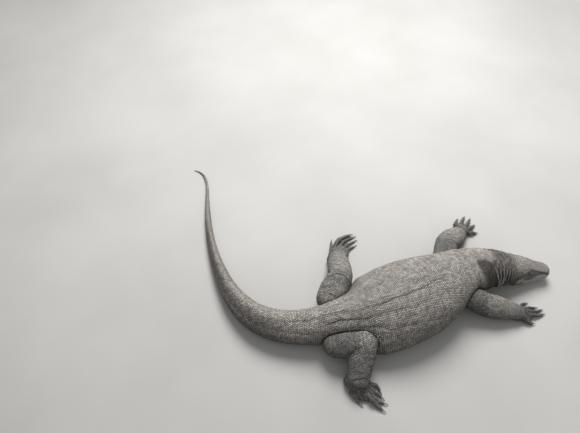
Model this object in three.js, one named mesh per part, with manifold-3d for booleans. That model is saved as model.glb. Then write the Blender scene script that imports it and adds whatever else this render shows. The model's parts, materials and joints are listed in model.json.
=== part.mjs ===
// A life-size adult Komodo dragon, resting on its belly with the legs spread and the tail swept to the side.
// Millimetres, +Z up. The head points along +X. The origin is on the floor, under the middle of the animal.
//
// The head, neck, trunk and tail are one loft along the spine, parted by thin cuts.
// Each leg is two rounded lofts that meet at the knee or elbow.
// Each foot is a sole with five toes joined to it, and each toe ends in a claw of its own.

import * as THREE from "three";
import { mergeVertices } from "three/addons/utils/BufferGeometryUtils.js";
import Module from "manifold-3d";

const wasm = await Module();
wasm.setup();

// ---------------------------------------------------------------- driving sizes

const GAP = 0.4; // between neighbouring pieces
const SINK = 3; // how far rounded undersides are taken below the floor, to be cut off as flats
const LIMB_SIDES = 12; // facets round a leg and a sole
const TOE_SIDES = 6;
const CLAW_SIDES = 5;

// The spine, from the tail's tip to the snout. Each station is a landmark of the body:
//   s        distance along the spine from the hips, forward positive
//   bearing  the way the spine runs there, in degrees from +X towards +Y
//   wide     half of the width
//   top, level, bottom   heights of the back, of the widest line and of the belly above the floor
//   crown, keel          roundness of the upper and lower half: 2 is an ellipse, more is squarer
// Where a station gives no bottom, the belly rests on the floor.
const STATIONS = [
  { name: "tail_tip", s: -1405, bearing: -12, wide: 3.5, top: 8, level: 3.5, bottom: -0.5, crown: 2, keel: 2 },
  { name: "tail_curl", s: -1365, bearing: -35, wide: 5, top: 11.5, level: 5, bottom: -0.7, crown: 2, keel: 2 },
  { name: "tail_whip", s: -1310, bearing: -66, wide: 7, top: 16.5, level: 7.2, bottom: -1, crown: 2, keel: 2 },
  { name: "tail_hook", s: -1200, bearing: -84, wide: 9.5, top: 23, level: 10, bottom: -1.5, crown: 2, keel: 2 },
  { name: "tail_end", s: -1030, bearing: -81, wide: 16, top: 38, level: 15.5, bottom: -2, crown: 1.9, keel: 2 },
  { name: "tail_lower", s: -850, bearing: -74, wide: 22, top: 55, level: 23, crown: 1.8, keel: 2.1 },
  { name: "tail_middle", s: -650, bearing: -65, wide: 35, top: 79, level: 33, crown: 1.8, keel: 2.2 },
  { name: "tail_upper", s: -470, bearing: -49, wide: 53, top: 108, level: 46, crown: 1.9, keel: 2.2 },
  { name: "tail_bend", s: -310, bearing: -21.5, wide: 68, top: 131, level: 58, crown: 2, keel: 2.2 },
  { name: "tail_root", s: -160, bearing: 1.5, wide: 76, top: 148, level: 66, crown: 2, keel: 2.3 },
  { name: "vent", s: -60, bearing: 8, wide: 86, top: 172, level: 70, crown: 1.9, keel: 2.4 },
  { name: "hips", s: 0, bearing: 10, wide: 108, top: 190, level: 68, crown: 1.7, keel: 2.6 },
  { name: "groin", s: 75, bearing: 12, wide: 134, top: 210, level: 66, crown: 1.5, keel: 2.8 },
  { name: "loin", s: 160, bearing: 18, wide: 184, top: 232, level: 76, crown: 1.7, keel: 2.8 },
  { name: "belly", s: 280, bearing: 22, wide: 190, top: 245, level: 88, crown: 1.95, keel: 2.7 },
  { name: "ribs", s: 390, bearing: 23, wide: 183, top: 247, level: 94, crown: 2, keel: 2.6 },
  { name: "chest", s: 490, bearing: 28, wide: 157, top: 242, level: 98, crown: 2.1, keel: 2.5 },
  { name: "shoulders", s: 590, bearing: 29, wide: 124, top: 230, level: 104, bottom: 2, crown: 2.1, keel: 2.3 },
  { name: "neck_root", s: 672, bearing: 15, wide: 107, top: 210, level: 104, bottom: 12, crown: 2.1, keel: 2.2 },
  { name: "neck", s: 760, bearing: 9, wide: 97, top: 186, level: 96, bottom: 16, crown: 2.1, keel: 2.2 },
  { name: "nape", s: 835, bearing: 7, wide: 88, top: 156, level: 80, bottom: 16, crown: 2.2, keel: 2.2 },
  { name: "jaw_angle", s: 895, bearing: 3, wide: 79, top: 132, level: 50, bottom: 10, crown: 2.1, keel: 2.3 },
  { name: "brow", s: 950, bearing: 1, wide: 66, top: 118, level: 36, bottom: 9, crown: 2.1, keel: 2.4 },
  { name: "muzzle", s: 1000, bearing: -1, wide: 52, top: 97, level: 34, bottom: 11, crown: 2.2, keel: 2.5 },
  { name: "nostrils", s: 1044, bearing: -2, wide: 41, top: 83, level: 36, bottom: 15, crown: 2.3, keel: 2.5 },
  { name: "snout", s: 1066, bearing: -2, wide: 31, top: 73, level: 39, bottom: 22, crown: 2.3, keel: 2.4 },
  { name: "snout_tip", s: 1079, bearing: -2, wide: 11, top: 57, level: 46, bottom: 36, crown: 2.2, keel: 2.2 },
].map((station) => ({ bottom: -SINK, ...station }));

// Pieces of the spine, from one cut to the next.
const SPINE_PIECES = [
  { name: "tail_tip", from: -1405, to: -1120, steps: 9, sides: 10 },
  { name: "tail_lower", from: -1120, to: -850, steps: 6, sides: 12 },
  { name: "tail_middle", from: -850, to: -590, steps: 5, sides: 16 },
  { name: "tail_upper", from: -590, to: -340, steps: 6, sides: 18 },
  { name: "tail_root", from: -340, to: -95, steps: 5, sides: 24 },
  { name: "trunk", from: -95, to: 625, steps: 15, sides: 26 },
  { name: "neck", from: 625, to: 855, steps: 6, sides: 24 },
];
const HEAD_PIECE = { name: "head", from: 855, to: 1079, steps: 12, sides: 24, crowding: 1.5 };

const EYE = { s: 967, radius: 9, outside: 1.2, height: 94 };
const NOSTRIL = { s: 1048, height: 63, size: [6.5, 5, 4.5] };
const EAR = { s: 893, height: 88, size: [7, 6, 12] };

// The lower jaw, seen from the side: its outline from under the throat, up behind the corner of the mouth
// and along the shut lips to the snout.
const MOUTH = [
  { s: 942, height: -10 },
  { s: 930, height: 28 },
  { s: 942, height: 48 },
  { s: 985, height: 43 },
  { s: 1030, height: 46 },
  { s: 1100, height: 46 },
  { s: 1100, height: -10 },
];

// Bones and flesh of the legs, in millimetres. `flesh` is half of the thickness [across, upright] at even
// steps from the bone's root to its end. A toe's `turn` is towards the animal's middle, in degrees from the
// foot's own bearing; `across` and `from` place its root on the sole, as shares of the sole's size; its middle
// swings towards the animal's middle by `bow`. `past` flattens the dome past the end of a lower bone.
const HIND = {
  upper: { length: 118, flesh: [[66, 60], [68, 66], [62, 63], [58, 59]] },
  lower: { length: 160, flesh: [[57, 56], [57, 56], [53, 51], [45, 41]], past: 0.55 },
  sole: { length: 72, wide: 46, high: 80 },
  toes: [
    { name: "1", turn: 5, across: 0.83, from: 0.57, length: 47, bow: 9, root: 8.5, end: 6 },
    { name: "2", turn: 4, across: 0.48, from: 0.81, length: 48, bow: 1, root: 8.5, end: 6 },
    { name: "3", turn: 2, across: 0.22, from: 0.92, length: 64, bow: -9, root: 10, end: 6.4 },
    { name: "4", turn: -5, across: -0.12, from: 0.72, length: 88, bow: -5, root: 15, end: 7.5 },
    { name: "5", turn: -11, across: -0.94, from: 0, length: 58, bow: -1, root: 12, end: 6.5 },
  ],
  claw: { length: 21, root: 4.6 },
};
const FORE = {
  upper: { length: 125, flesh: [[54, 50], [56, 54], [56, 56], [55, 55]] },
  lower: { length: 168, flesh: [[55, 55], [57, 52], [46, 40], [37, 30]], past: 0.6 },
  sole: { length: 56, wide: 37, high: 66 },
  toes: [
    { name: "1", turn: 34, across: 1, from: 0.33, length: 40, bow: 4, root: 9, end: 6 },
    { name: "2", turn: 4, across: 0.95, from: 0.68, length: 51, bow: -1, root: 8, end: 5.8 },
    { name: "3", turn: 6, across: 0.54, from: 0.71, length: 73, bow: -7, root: 9, end: 6.2 },
    { name: "4", turn: 1, across: 0.14, from: 0.54, length: 86, bow: -10, root: 11, end: 6.8 },
    { name: "5", turn: -27, across: -0.5, from: 0.23, length: 49, bow: -8, root: 12, end: 7.5 },
  ],
  claw: { length: 16, root: 4.5 },
};
// The far feet are more open, with their toes in a wide fan.
const HIND_OPEN = {
  ...HIND,
  toes: [
    { name: "1", turn: 29, across: 0.44, from: 0.81, length: 52, bow: 0, root: 9, end: 6 },
    { name: "2", turn: 26, across: 0.04, from: 0.92, length: 76, bow: -2, root: 9.5, end: 6 },
    { name: "3", turn: 22, across: -0.38, from: 0.86, length: 98, bow: -8, root: 10, end: 6.2 },
    { name: "4", turn: 18, across: -0.78, from: 0.67, length: 114, bow: -14, root: 14.5, end: 7.5 },
    { name: "5", turn: -23, across: -0.92, from: 0.28, length: 62, bow: 0, root: 10, end: 6.2 },
  ],
};
const FORE_OPEN = {
  ...FORE,
  toes: [
    { name: "1", turn: 47, across: 1.02, from: 0.25, length: 40, bow: -1, root: 11, end: 7.5 },
    { name: "2", turn: 18, across: 0.76, from: 0.66, length: 44, bow: 0, root: 10.5, end: 7.5 },
    { name: "3", turn: 3, across: 0.19, from: 0.86, length: 58, bow: 2, root: 11, end: 7.5 },
    { name: "4", turn: -1, across: -0.49, from: 0.79, length: 58, bow: -1, root: 11, end: 7.5 },
    { name: "5", turn: -3, across: -1.12, from: 0.43, length: 45, bow: 0, root: 11, end: 7.5 },
  ],
};

// The four legs. `side` is +1 on the animal's left. The root of the upper bone is `out` from the spine at s.
// Each bone has a bearing in degrees from +X towards +Y and a slope in degrees above level.
const LEGS = [
  {
    name: "hind_right", side: -1, kind: HIND,
    root: { s: -23, out: 91, height: 75 },
    upper: [-5, 15], lower: [-103, -23], foot: -42,
  },
  {
    name: "hind_left", side: 1, kind: HIND_OPEN,
    root: { s: -5, out: 116, height: 79 },
    upper: [64, 9], lower: [91, -24], foot: 62,
  },
  {
    name: "fore_right", side: -1, kind: FORE,
    root: { s: 565, out: 78, height: 113 },
    upper: [-20, -24], lower: [-9, -10.5], foot: -2,
  },
  {
    name: "fore_left", side: 1, kind: FORE_OPEN,
    root: { s: 600, out: 84, height: 95 },
    upper: [72, -7], lower: [45, -21], foot: 57,
  },
];

const COLOURS = { skin: 0x8d857a, limb: 0x7c7b77, head: 0x6f6a63, eye: 0x1d1712, claw: 0x2c2926 };

// ---------------------------------------------------------------- small helpers

const radians = THREE.MathUtils.degToRad;
const material = (color, roughness) => new THREE.MeshStandardMaterial({ color, roughness, metalness: 0 });
const SKIN = material(COLOURS.skin, 0.9);
const LIMB_SKIN = material(COLOURS.limb, 0.9);
const HEAD_SKIN = material(COLOURS.head, 0.85);
const EYE_BALL = material(COLOURS.eye, 0.15);
const CLAW_HORN = material(COLOURS.claw, 0.45);

/** A value of the station table at s, on a smooth curve that never overshoots the stations. */
function at(s, key) {
  const last = STATIONS.length - 1;
  const i = THREE.MathUtils.clamp(STATIONS.findIndex((station) => station.s > s) - 1, 0, last - 1);
  const k = s >= STATIONS[last].s ? last - 1 : i;
  const slope = (j) => (STATIONS[j + 1][key] - STATIONS[j][key]) / (STATIONS[j + 1].s - STATIONS[j].s);
  const tangent = (j) => {
    if (j === 0) return slope(0);
    if (j === last) return slope(last - 1);
    const [before, after] = [slope(j - 1), slope(j)];
    return before * after <= 0 ? 0 : (2 * before * after) / (before + after);
  };
  const [a, b] = [STATIONS[k], STATIONS[k + 1]];
  const span = b.s - a.s;
  const t = THREE.MathUtils.clamp((s - a.s) / span, 0, 1);
  const [t2, t3] = [t * t, t * t * t];
  return (
    (2 * t3 - 3 * t2 + 1) * a[key] +
    (t3 - 2 * t2 + t) * span * tangent(k) +
    (3 * t2 - 2 * t3) * b[key] +
    (t3 - t2) * span * tangent(k + 1)
  );
}

const SPINE_STEP = 5;

/** The spine's plan position at s, walked from the hips in short steps along its bearing. */
function spinePoint(s) {
  const step = Math.sign(s) * SPINE_STEP;
  const point = new THREE.Vector3();
  const walk = (here, length) => {
    const bearing = radians(at(here + length / 2, "bearing"));
    point.x += length * Math.cos(bearing);
    point.y += length * Math.sin(bearing);
  };
  let here = 0;
  while (Math.abs(s - here) > SPINE_STEP) {
    walk(here, step);
    here += step;
  }
  walk(here, s - here);
  return point;
}

/** The point beside the spine: `out` to the animal's left and `height` above the floor. */
function beside(s, out, height) {
  const bearing = radians(at(s, "bearing"));
  const left = new THREE.Vector3(-Math.sin(bearing), Math.cos(bearing), 0);
  return spinePoint(s).addScaledVector(left, out).setZ(height);
}

/** A superellipse's reach at an angle. */
const reach = (value, roundness) => Math.sign(value) * Math.abs(value) ** (2 / roundness);

/** One ring of the body's outline at s, grown outwards by `grow`. */
function bodyRing(s, sides, grow = 0) {
  const [wide, top, level, bottom] = ["wide", "top", "level", "bottom"].map((key) => at(s, key));
  return Array.from({ length: sides }, (_, i) => {
    const angle = (2 * Math.PI * (i + 0.5)) / sides;
    const upper = Math.sin(angle) >= 0;
    const roundness = at(s, upper ? "crown" : "keel");
    const out = (wide + grow) * reach(Math.cos(angle), roundness);
    const rise = (upper ? top - level + grow : level - bottom + grow) * reach(Math.sin(angle), roundness);
    return beside(s, out, level + rise);
  });
}

/** A closed surface through rings of equal length, each end closed by a fan. */
function loft(rings) {
  const sides = rings[0].length;
  const middle = (ring) => ring.reduce((sum, p) => sum.add(p), new THREE.Vector3()).divideScalar(sides);
  const points = [...rings.flat(), middle(rings[0]), middle(rings[rings.length - 1])];
  const faces = [];
  rings.slice(1).forEach((_, r) => {
    for (let i = 0; i < sides; i++) {
      const j = (i + 1) % sides;
      const [a, b, c, d] = [r * sides + i, r * sides + j, (r + 1) * sides + j, (r + 1) * sides + i];
      faces.push(a, b, c, a, c, d);
    }
  });
  const lastRing = (rings.length - 1) * sides;
  for (let i = 0; i < sides; i++) {
    const j = (i + 1) % sides;
    faces.push(points.length - 2, j, i, points.length - 1, lastRing + i, lastRing + j);
  }
  const geometry = new THREE.BufferGeometry().setFromPoints(points);
  geometry.setIndex(faces);
  return geometry;
}

// ---------------------------------------------------------------- solids for cutting and joining

/** A geometry as a solid, with its faces turned outwards. */
function solidOf(geometry) {
  const bare = geometry.clone();
  bare.deleteAttribute("normal");
  bare.deleteAttribute("uv");
  const merged = mergeVertices(bare, 1e-3);
  const points = new Float32Array(merged.attributes.position.array);
  const faces = new Uint32Array(merged.index.array);
  const mesh = () => new wasm.Mesh({ numProp: 3, vertProperties: points, triVerts: faces });
  const build = () => new wasm.Manifold(mesh());
  if (build().volume() > 0) return build();
  for (let i = 0; i < faces.length; i += 3) [faces[i + 1], faces[i + 2]] = [faces[i + 2], faces[i + 1]];
  return build();
}

function geometryOf(solid) {
  const mesh = solid.getMesh();
  return new THREE.BufferGeometry()
    .setAttribute("position", new THREE.BufferAttribute(new Float32Array(mesh.vertProperties), 3))
    .setIndex(new THREE.BufferAttribute(mesh.triVerts, 1));
}

/** The largest single piece of a solid, dropping slivers that a cut leaves. */
function mainPiece(solid) {
  return solid.decompose().reduce((best, piece) => (piece.volume() > best.volume() ? piece : best));
}

/** What lies on the far side of a plane through a point, half a gap beyond it. */
function beyond(solid, point, direction) {
  return solid.trimByPlane(direction.toArray(), direction.dot(point) + GAP / 2);
}

const onFloor = (solid) => solid.trimByPlane([0, 0, 1], 0);

// ---------------------------------------------------------------- spine: tail, trunk, neck and head

/** A length of the body, grown outwards by `grow`. A `crowding` above 1 crowds its rings towards its end. */
function spineSolid({ from, to, steps, sides, crowding = 1 }, grow = 0) {
  const [start, end] = [from + GAP / 2 - grow, to - GAP / 2 + grow];
  const rings = Array.from({ length: steps + 1 }, (_, i) => {
    const share = 1 - (1 - i / steps) ** crowding;
    return bodyRing(start + (end - start) * share, sides, grow);
  });
  return onFloor(solidOf(loft(rings)));
}

/** How far the head's side is from its midline at a height. */
function headSurface(s, height) {
  const [wide, top, level, crown] = ["wide", "top", "level", "crown"].map((key) => at(s, key));
  const share = THREE.MathUtils.clamp((height - level) / (top - level), 0, 1);
  return wide * (1 - share ** crown) ** (1 / crown);
}

/** An ellipsoid centred on the side of the head. */
function headHollow({ s, height, size }, side) {
  const place = beside(s, side * headSurface(s, height), height);
  const ball = new THREE.SphereGeometry(1, 8, 6)
    .scale(...size)
    .rotateZ(radians(at(s, "bearing")))
    .translate(place.x, place.y, place.z);
  return solidOf(ball);
}

/** The part of the head below the line of the mouth, as an upright slab that is lowered by `lowered`. */
function mouthCutter(lowered) {
  const middle = (HEAD_PIECE.from + HEAD_PIECE.to) / 2;
  const place = spinePoint(middle);
  const outline = MOUTH.map(({ s, height }) => new THREE.Vector2(s + lowered - middle, height - lowered));
  const depth = 4 * at(HEAD_PIECE.from, "wide");
  const slab = new THREE.ExtrudeGeometry(new THREE.Shape(outline), { depth, bevelEnabled: false })
    .translate(0, 0, -depth / 2)
    .rotateX(Math.PI / 2)
    .rotateZ(radians(at(middle, "bearing")))
    .translate(place.x, place.y, 0);
  return solidOf(slab);
}

// ---------------------------------------------------------------- legs

const towards = (bearing, slope) =>
  new THREE.Vector3(
    Math.cos(radians(bearing)) * Math.cos(radians(slope)),
    Math.sin(radians(bearing)) * Math.cos(radians(slope)),
    Math.sin(radians(slope)),
  );

/** A ring across a path: `across` level and `upright` in the plane square to the path. */
function pathRing(point, along, across, upright, sides) {
  const level = new THREE.Vector3(0, 0, 1).cross(along).normalize();
  const up = new THREE.Vector3().crossVectors(along, level);
  return Array.from({ length: sides }, (_, i) => {
    const angle = (2 * Math.PI * (i + 0.5)) / sides;
    return point
      .clone()
      .addScaledVector(level, across * Math.cos(angle))
      .addScaledVector(up, upright * Math.sin(angle));
  });
}

/** The pair of half thicknesses at t, between the even steps of a list. */
function thicknessAt(list, t) {
  const place = t * (list.length - 1);
  const i = Math.min(Math.floor(place), list.length - 2);
  return [0, 1].map((k) => THREE.MathUtils.lerp(list[i][k], list[i + 1][k], place - i));
}

/** Where the leg's joints are: the root of the upper bone, the knee or elbow, and the ankle or wrist. */
function joints({ side, kind, root: { s, out, height }, upper, lower }) {
  const root = beside(s, side * out, height);
  const bend = root.clone().addScaledVector(towards(...upper), kind.upper.length);
  const ankle = bend.clone().addScaledVector(towards(...lower), kind.lower.length);
  return { root, bend, ankle };
}

const FLESH_STEPS = 4;
const DOME = [15, 45, 75].map(radians); // where a dome's rings are, from its pole towards its rim

/** Flesh round one bone, with a dome past each end. */
function fleshSolid(start, [bearing, slope], { length, flesh, past: flat = 1 }) {
  const along = towards(bearing, slope);
  const ringAt = (t, past, shrink) => {
    const [across, upright] = thicknessAt(flesh, t);
    const centre = start.clone().addScaledVector(along, length * t + past * across);
    return pathRing(centre, along, across * shrink, upright * shrink, LIMB_SIDES);
  };
  const rings = [
    ...DOME.map((a) => ringAt(0, -Math.cos(a), Math.sin(a))),
    ...Array.from({ length: FLESH_STEPS + 1 }, (_, i) => ringAt(i / FLESH_STEPS, 0, 1)),
    ...DOME.toReversed().map((a) => ringAt(1, Math.cos(a) * flat, Math.sin(a))),
  ];
  return onFloor(solidOf(loft(rings)));
}

// The middle of a toe, from its root inside the sole to its end: [share of its length, height as a share of
// the root's or the end's radius]. It rises over a low knuckle and comes down to the floor.
const TOE_ARCH = [
  [0, "root", 1],
  [0.35, "root", 1.6],
  [0.7, "end", 1.5],
  [1, "end", 0.95],
];
const TOE_STEPS = 3;

/** One toe and the claw beyond it. */
function toeSolids(leg, toe) {
  const { sole, claw } = leg.kind;
  const { ankle } = joints(leg);
  const out = towards(leg.foot - leg.side * toe.turn, 0);
  const inwards = towards(leg.foot - leg.side * (toe.turn + 90), 0);
  const start = ankle
    .clone()
    .addScaledVector(towards(leg.foot, 0), sole.length * toe.from)
    .addScaledVector(towards(leg.foot - leg.side * 90, 0), sole.wide * toe.across);
  const curve = new THREE.CatmullRomCurve3(
    TOE_ARCH.map(([share, part, rise]) =>
      start
        .clone()
        .addScaledVector(out, toe.length * share)
        .addScaledVector(inwards, toe.bow * 4 * share * (1 - share))
        .setZ(toe[part] * rise),
    ),
  );
  const rings = Array.from({ length: TOE_STEPS + 1 }, (_, i) => {
    const t = i / TOE_STEPS;
    const radius = THREE.MathUtils.lerp(toe.root, toe.end, t);
    return pathRing(curve.getPoint(t), curve.getTangent(t), radius, radius, TOE_SIDES);
  });
  return { toe: solidOf(loft(rings)), claw: clawSolid(curve.getPoint(1), curve.getTangent(1), claw) };
}

// A claw's side view, as shares of its length, and its section.
const CLAW = {
  arch: 0.15, // how far its middle bows up
  drop: 0.24, // how far its tip comes down
  lowest: 1.2, // height of its middle line where it meets the floor, in millimetres
  taper: 0.8, // how fast it thins: 1 is a straight cone, less is fuller
  tip: 0.5, // radius of its blunt tip, in millimetres
  narrow: 0.75, // its width as a share of its height
  steps: 3,
};

/** A claw: it leaves the flat end of a toe, arches a little and runs down to a blunt point on the floor. */
function clawSolid(end, along, { length, root }) {
  const out = along.clone().setZ(0).normalize();
  const start = end.clone().addScaledVector(along, GAP / 2);
  const arch = (share) => length * (CLAW.arch * Math.sin(Math.PI * share) - CLAW.drop * share * share);
  const place = (share) =>
    start
      .clone()
      .addScaledVector(out, length * share)
      .setZ(Math.max(start.z + arch(share), CLAW.lowest));
  const curve = new THREE.CatmullRomCurve3([0, 0.35, 0.7, 1].map(place));
  const rings = Array.from({ length: CLAW.steps + 1 }, (_, i) => {
    const t = i / CLAW.steps;
    const radius = root * (1 - t) ** CLAW.taper + CLAW.tip;
    return pathRing(curve.getPoint(t), curve.getTangent(t), radius * CLAW.narrow, radius, CLAW_SIDES);
  });
  return onFloor(beyond(solidOf(loft(rings)), start, along));
}

// A sole from behind the heel to the roots of the toes:
// [place along it, share of its width, share of its height].
const SOLE_OUTLINE = [
  [-0.75, 0.55, 0.42],
  [-0.5, 0.9, 0.76],
  [-0.1, 1, 0.92],
  [0.35, 0.98, 0.72],
  [0.75, 0.96, 0.38],
  [1.1, 0.62, 0.24],
];
// The middle of a ring of the sole and its half height, as shares of the ring's height. The half height is
// the larger, so the ring dips below the floor and its underside is cut off flat.
const SOLE_LEVEL = 0.42;
const SOLE_HALF = 0.58;

function soleSolid(leg) {
  const { sole } = leg.kind;
  const { ankle } = joints(leg);
  const along = towards(leg.foot, 0);
  const rings = SOLE_OUTLINE.map(([place, wide, high]) => {
    const tall = sole.high * high;
    const centre = ankle.clone().addScaledVector(along, sole.length * place).setZ(tall * SOLE_LEVEL);
    return pathRing(centre, along, sole.wide * wide, tall * SOLE_HALF, LIMB_SIDES);
  });
  return solidOf(loft(rings));
}

// ---------------------------------------------------------------- the whole animal

const dragon = new THREE.Group();

function add(name, solid, look) {
  const mesh = new THREE.Mesh(geometryOf(mainPiece(solid)), look);
  mesh.name = name;
  dragon.add(mesh);
}

for (const piece of SPINE_PIECES) add(piece.name, spineSolid(piece), SKIN);

/** The head with sockets for the eyes, nostrils and ears, and the lower jaw below the line of the mouth. */
function addHead() {
  let head = spineSolid(HEAD_PIECE);
  for (const [label, side] of [["left", 1], ["right", -1]]) {
    const inset = headSurface(EYE.s, EYE.height) + EYE.outside - EYE.radius;
    const centre = beside(EYE.s, side * inset, EYE.height);
    const sphere = (radius) => new THREE.SphereGeometry(radius, 12, 8);
    const ball = (radius) => solidOf(sphere(radius).translate(centre.x, centre.y, centre.z));
    const hollows = [ball(EYE.radius + 2 * GAP), headHollow(NOSTRIL, side), headHollow(EAR, side)];
    for (const hollow of hollows) head = head.subtract(hollow);
    add(`eye_${label}`, ball(EYE.radius), EYE_BALL);
  }
  add("head", head.subtract(mouthCutter(0)), HEAD_SKIN);
  add("lower_jaw", head.intersect(mouthCutter(GAP)), HEAD_SKIN);
}
addHead();

// The legs give way to the body, so the body's own outline, grown by a gap, is cut out of them.
const bodyShell = SPINE_PIECES.filter(({ name }) => ["tail_root", "trunk", "neck"].includes(name))
  .map((piece) => spineSolid(piece, GAP))
  .reduce((whole, piece) => whole.add(piece));

for (const leg of LEGS) {
  const { root, bend, ankle } = joints(leg);
  const [upperWay, lowerWay, footWay] = [towards(...leg.upper), towards(...leg.lower), towards(leg.foot, 0)];
  const knee = upperWay.clone().add(lowerWay).normalize();
  const heel = lowerWay.clone().setZ(0).normalize().add(footWay).normalize();
  const instep = ankle.clone().addScaledVector(heel, leg.kind.sole.wide / 2);
  const upper = beyond(fleshSolid(root, leg.upper, leg.kind.upper), bend, knee.clone().negate());
  const lower = beyond(fleshSolid(bend, leg.lower, leg.kind.lower), bend, knee);
  const toes = leg.kind.toes.map((toe) => ({ ...toeSolids(leg, toe), name: toe.name }));
  const foot = onFloor(toes.reduce((sum, { toe }) => sum.add(toe), soleSolid(leg)));
  add(`${leg.name}_upper`, upper.subtract(bodyShell), LIMB_SKIN);
  add(`${leg.name}_lower`, beyond(lower, instep, heel.clone().negate()).subtract(bodyShell), LIMB_SKIN);
  add(`${leg.name}_foot`, beyond(foot, instep, heel), LIMB_SKIN);
  for (const { name, claw } of toes) add(`${leg.name}_claw_${name}`, claw, CLAW_HORN);
}

const middle = new THREE.Box3().setFromObject(dragon).getCenter(new THREE.Vector3());
dragon.position.set(-middle.x, -middle.y, 0);

export default dragon;
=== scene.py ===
# %% [markdown]
# A Komodo dragon at rest, life size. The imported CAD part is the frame: it fixes where every limb lies.
# Over it come one continuous skin, a coat of small bead-like scales, the eyes and the claws.
# Everything is in metres, with +Z up and the floor at zero.

import json

import bpy
import numpy as np
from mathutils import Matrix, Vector
from mathutils.bvhtree import BVHTree
from mathutils.kdtree import KDTree

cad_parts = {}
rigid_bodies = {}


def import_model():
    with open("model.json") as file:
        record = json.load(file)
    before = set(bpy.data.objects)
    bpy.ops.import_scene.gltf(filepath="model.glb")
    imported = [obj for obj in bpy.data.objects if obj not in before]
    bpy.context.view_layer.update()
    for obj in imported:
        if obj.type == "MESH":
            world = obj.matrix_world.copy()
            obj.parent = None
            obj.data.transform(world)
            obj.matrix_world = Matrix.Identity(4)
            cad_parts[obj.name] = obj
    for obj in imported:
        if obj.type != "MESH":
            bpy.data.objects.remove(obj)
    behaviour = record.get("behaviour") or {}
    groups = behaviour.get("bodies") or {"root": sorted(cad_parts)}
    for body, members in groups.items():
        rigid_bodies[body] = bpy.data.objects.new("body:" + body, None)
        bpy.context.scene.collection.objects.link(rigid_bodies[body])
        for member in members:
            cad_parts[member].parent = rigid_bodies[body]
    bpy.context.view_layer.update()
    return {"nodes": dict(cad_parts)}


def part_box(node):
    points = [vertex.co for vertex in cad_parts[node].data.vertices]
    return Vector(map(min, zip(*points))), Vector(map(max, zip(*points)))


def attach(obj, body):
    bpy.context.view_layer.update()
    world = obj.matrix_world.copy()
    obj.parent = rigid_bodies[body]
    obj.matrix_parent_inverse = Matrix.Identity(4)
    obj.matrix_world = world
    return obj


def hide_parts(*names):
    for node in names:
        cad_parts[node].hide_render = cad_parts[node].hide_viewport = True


for leftover in list(bpy.data.objects):
    bpy.data.objects.remove(leftover)
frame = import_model()
EYES = {name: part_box(name) for name in ("eye_left", "eye_right")}
EYE_CENTRES = {name: np.array((low + high) / 2) for name, (low, high) in EYES.items()}

# %% [markdown]
# The body is a tube along a curved spine. Stations down the spine say how wide and how high the
# animal is. The same numbers shaped the solid part, so the skin made from them fits the frame.
# They are told from the hips: s runs forward along the spine, and the bearing turns from +X to +Y.

# %% The spine's stations
MM = 0.001
SUNK = -3  # how far round undersides go below the floor before they are pressed flat
STATION_KEYS = ("s", "bearing", "wide", "top", "level", "bottom", "crown", "keel")
STATIONS = np.array([
    (-1405, -12, 3.5, 8, 3.5, -0.5, 2, 2),  # tip of the tail
    (-1365, -35, 5, 11.5, 5, -0.7, 2, 2),
    (-1310, -66, 7, 16.5, 7.2, -1, 2, 2),
    (-1200, -84, 9.5, 23, 10, -1.5, 2, 2),
    (-1030, -81, 16, 38, 15.5, -2, 1.9, 2),
    (-850, -74, 22, 55, 23, SUNK, 1.8, 2.1),
    (-650, -65, 35, 79, 33, SUNK, 1.8, 2.2),
    (-470, -49, 53, 108, 46, SUNK, 1.9, 2.2),
    (-310, -21.5, 68, 131, 58, SUNK, 2, 2.2),
    (-160, 1.5, 76, 148, 66, SUNK, 2, 2.3),
    (-60, 8, 86, 172, 70, SUNK, 1.9, 2.4),
    (0, 10, 108, 190, 68, SUNK, 1.7, 2.6),  # hips
    (75, 12, 134, 210, 66, SUNK, 1.5, 2.8),
    (160, 18, 184, 232, 76, SUNK, 1.7, 2.8),
    (280, 22, 190, 245, 88, SUNK, 1.95, 2.7),  # belly
    (390, 23, 183, 247, 94, SUNK, 2, 2.6),
    (490, 28, 157, 242, 98, SUNK, 2.1, 2.5),
    (590, 29, 124, 230, 104, 2, 2.1, 2.3),  # shoulders
    (672, 15, 107, 210, 104, 12, 2.1, 2.2),
    (760, 9, 97, 186, 96, 16, 2.1, 2.2),  # neck
    (835, 7, 88, 156, 80, 16, 2.2, 2.2),
    (895, 3, 79, 132, 50, 10, 2.1, 2.3),  # angle of the jaw
    (950, 1, 66, 118, 36, 9, 2.1, 2.4),  # brow
    (1000, -1, 52, 97, 34, 11, 2.2, 2.5),
    (1044, -2, 41, 83, 36, 15, 2.3, 2.5),  # nostrils
    (1066, -2, 31, 73, 39, 22, 2.3, 2.4),
    (1079, -2, 11, 57, 46, 36, 2.2, 2.2),  # tip of the snout
], float)
TAIL_TIP, SNOUT = STATIONS[0, 0], STATIONS[-1, 0]


def at(s, key):
    """A value of the station table at s, on a smooth curve that never overshoots the stations."""
    knots, values = STATIONS[:, 0], STATIONS[:, STATION_KEYS.index(key)]
    slope = np.diff(values) / np.diff(knots)
    before, after = slope[:-1], slope[1:]
    same = before * after > 0
    safe = np.where(same, before + after, 1)
    middle = np.where(same, 2 * before * after / safe, 0)
    tangent = np.concatenate([slope[:1], middle, slope[-1:]])
    s = np.clip(np.asarray(s, float), knots[0], knots[-1])
    k = np.clip(np.searchsorted(knots, s, side="right") - 1, 0, len(knots) - 2)
    span = knots[k + 1] - knots[k]
    t = (s - knots[k]) / span
    return (
        (2 * t**3 - 3 * t**2 + 1) * values[k]
        + (t**3 - 2 * t**2 + t) * span * tangent[k]
        + (3 * t**2 - 2 * t**3) * values[k + 1]
        + (t**3 - t**2) * span * tangent[k + 1]
    )


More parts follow.
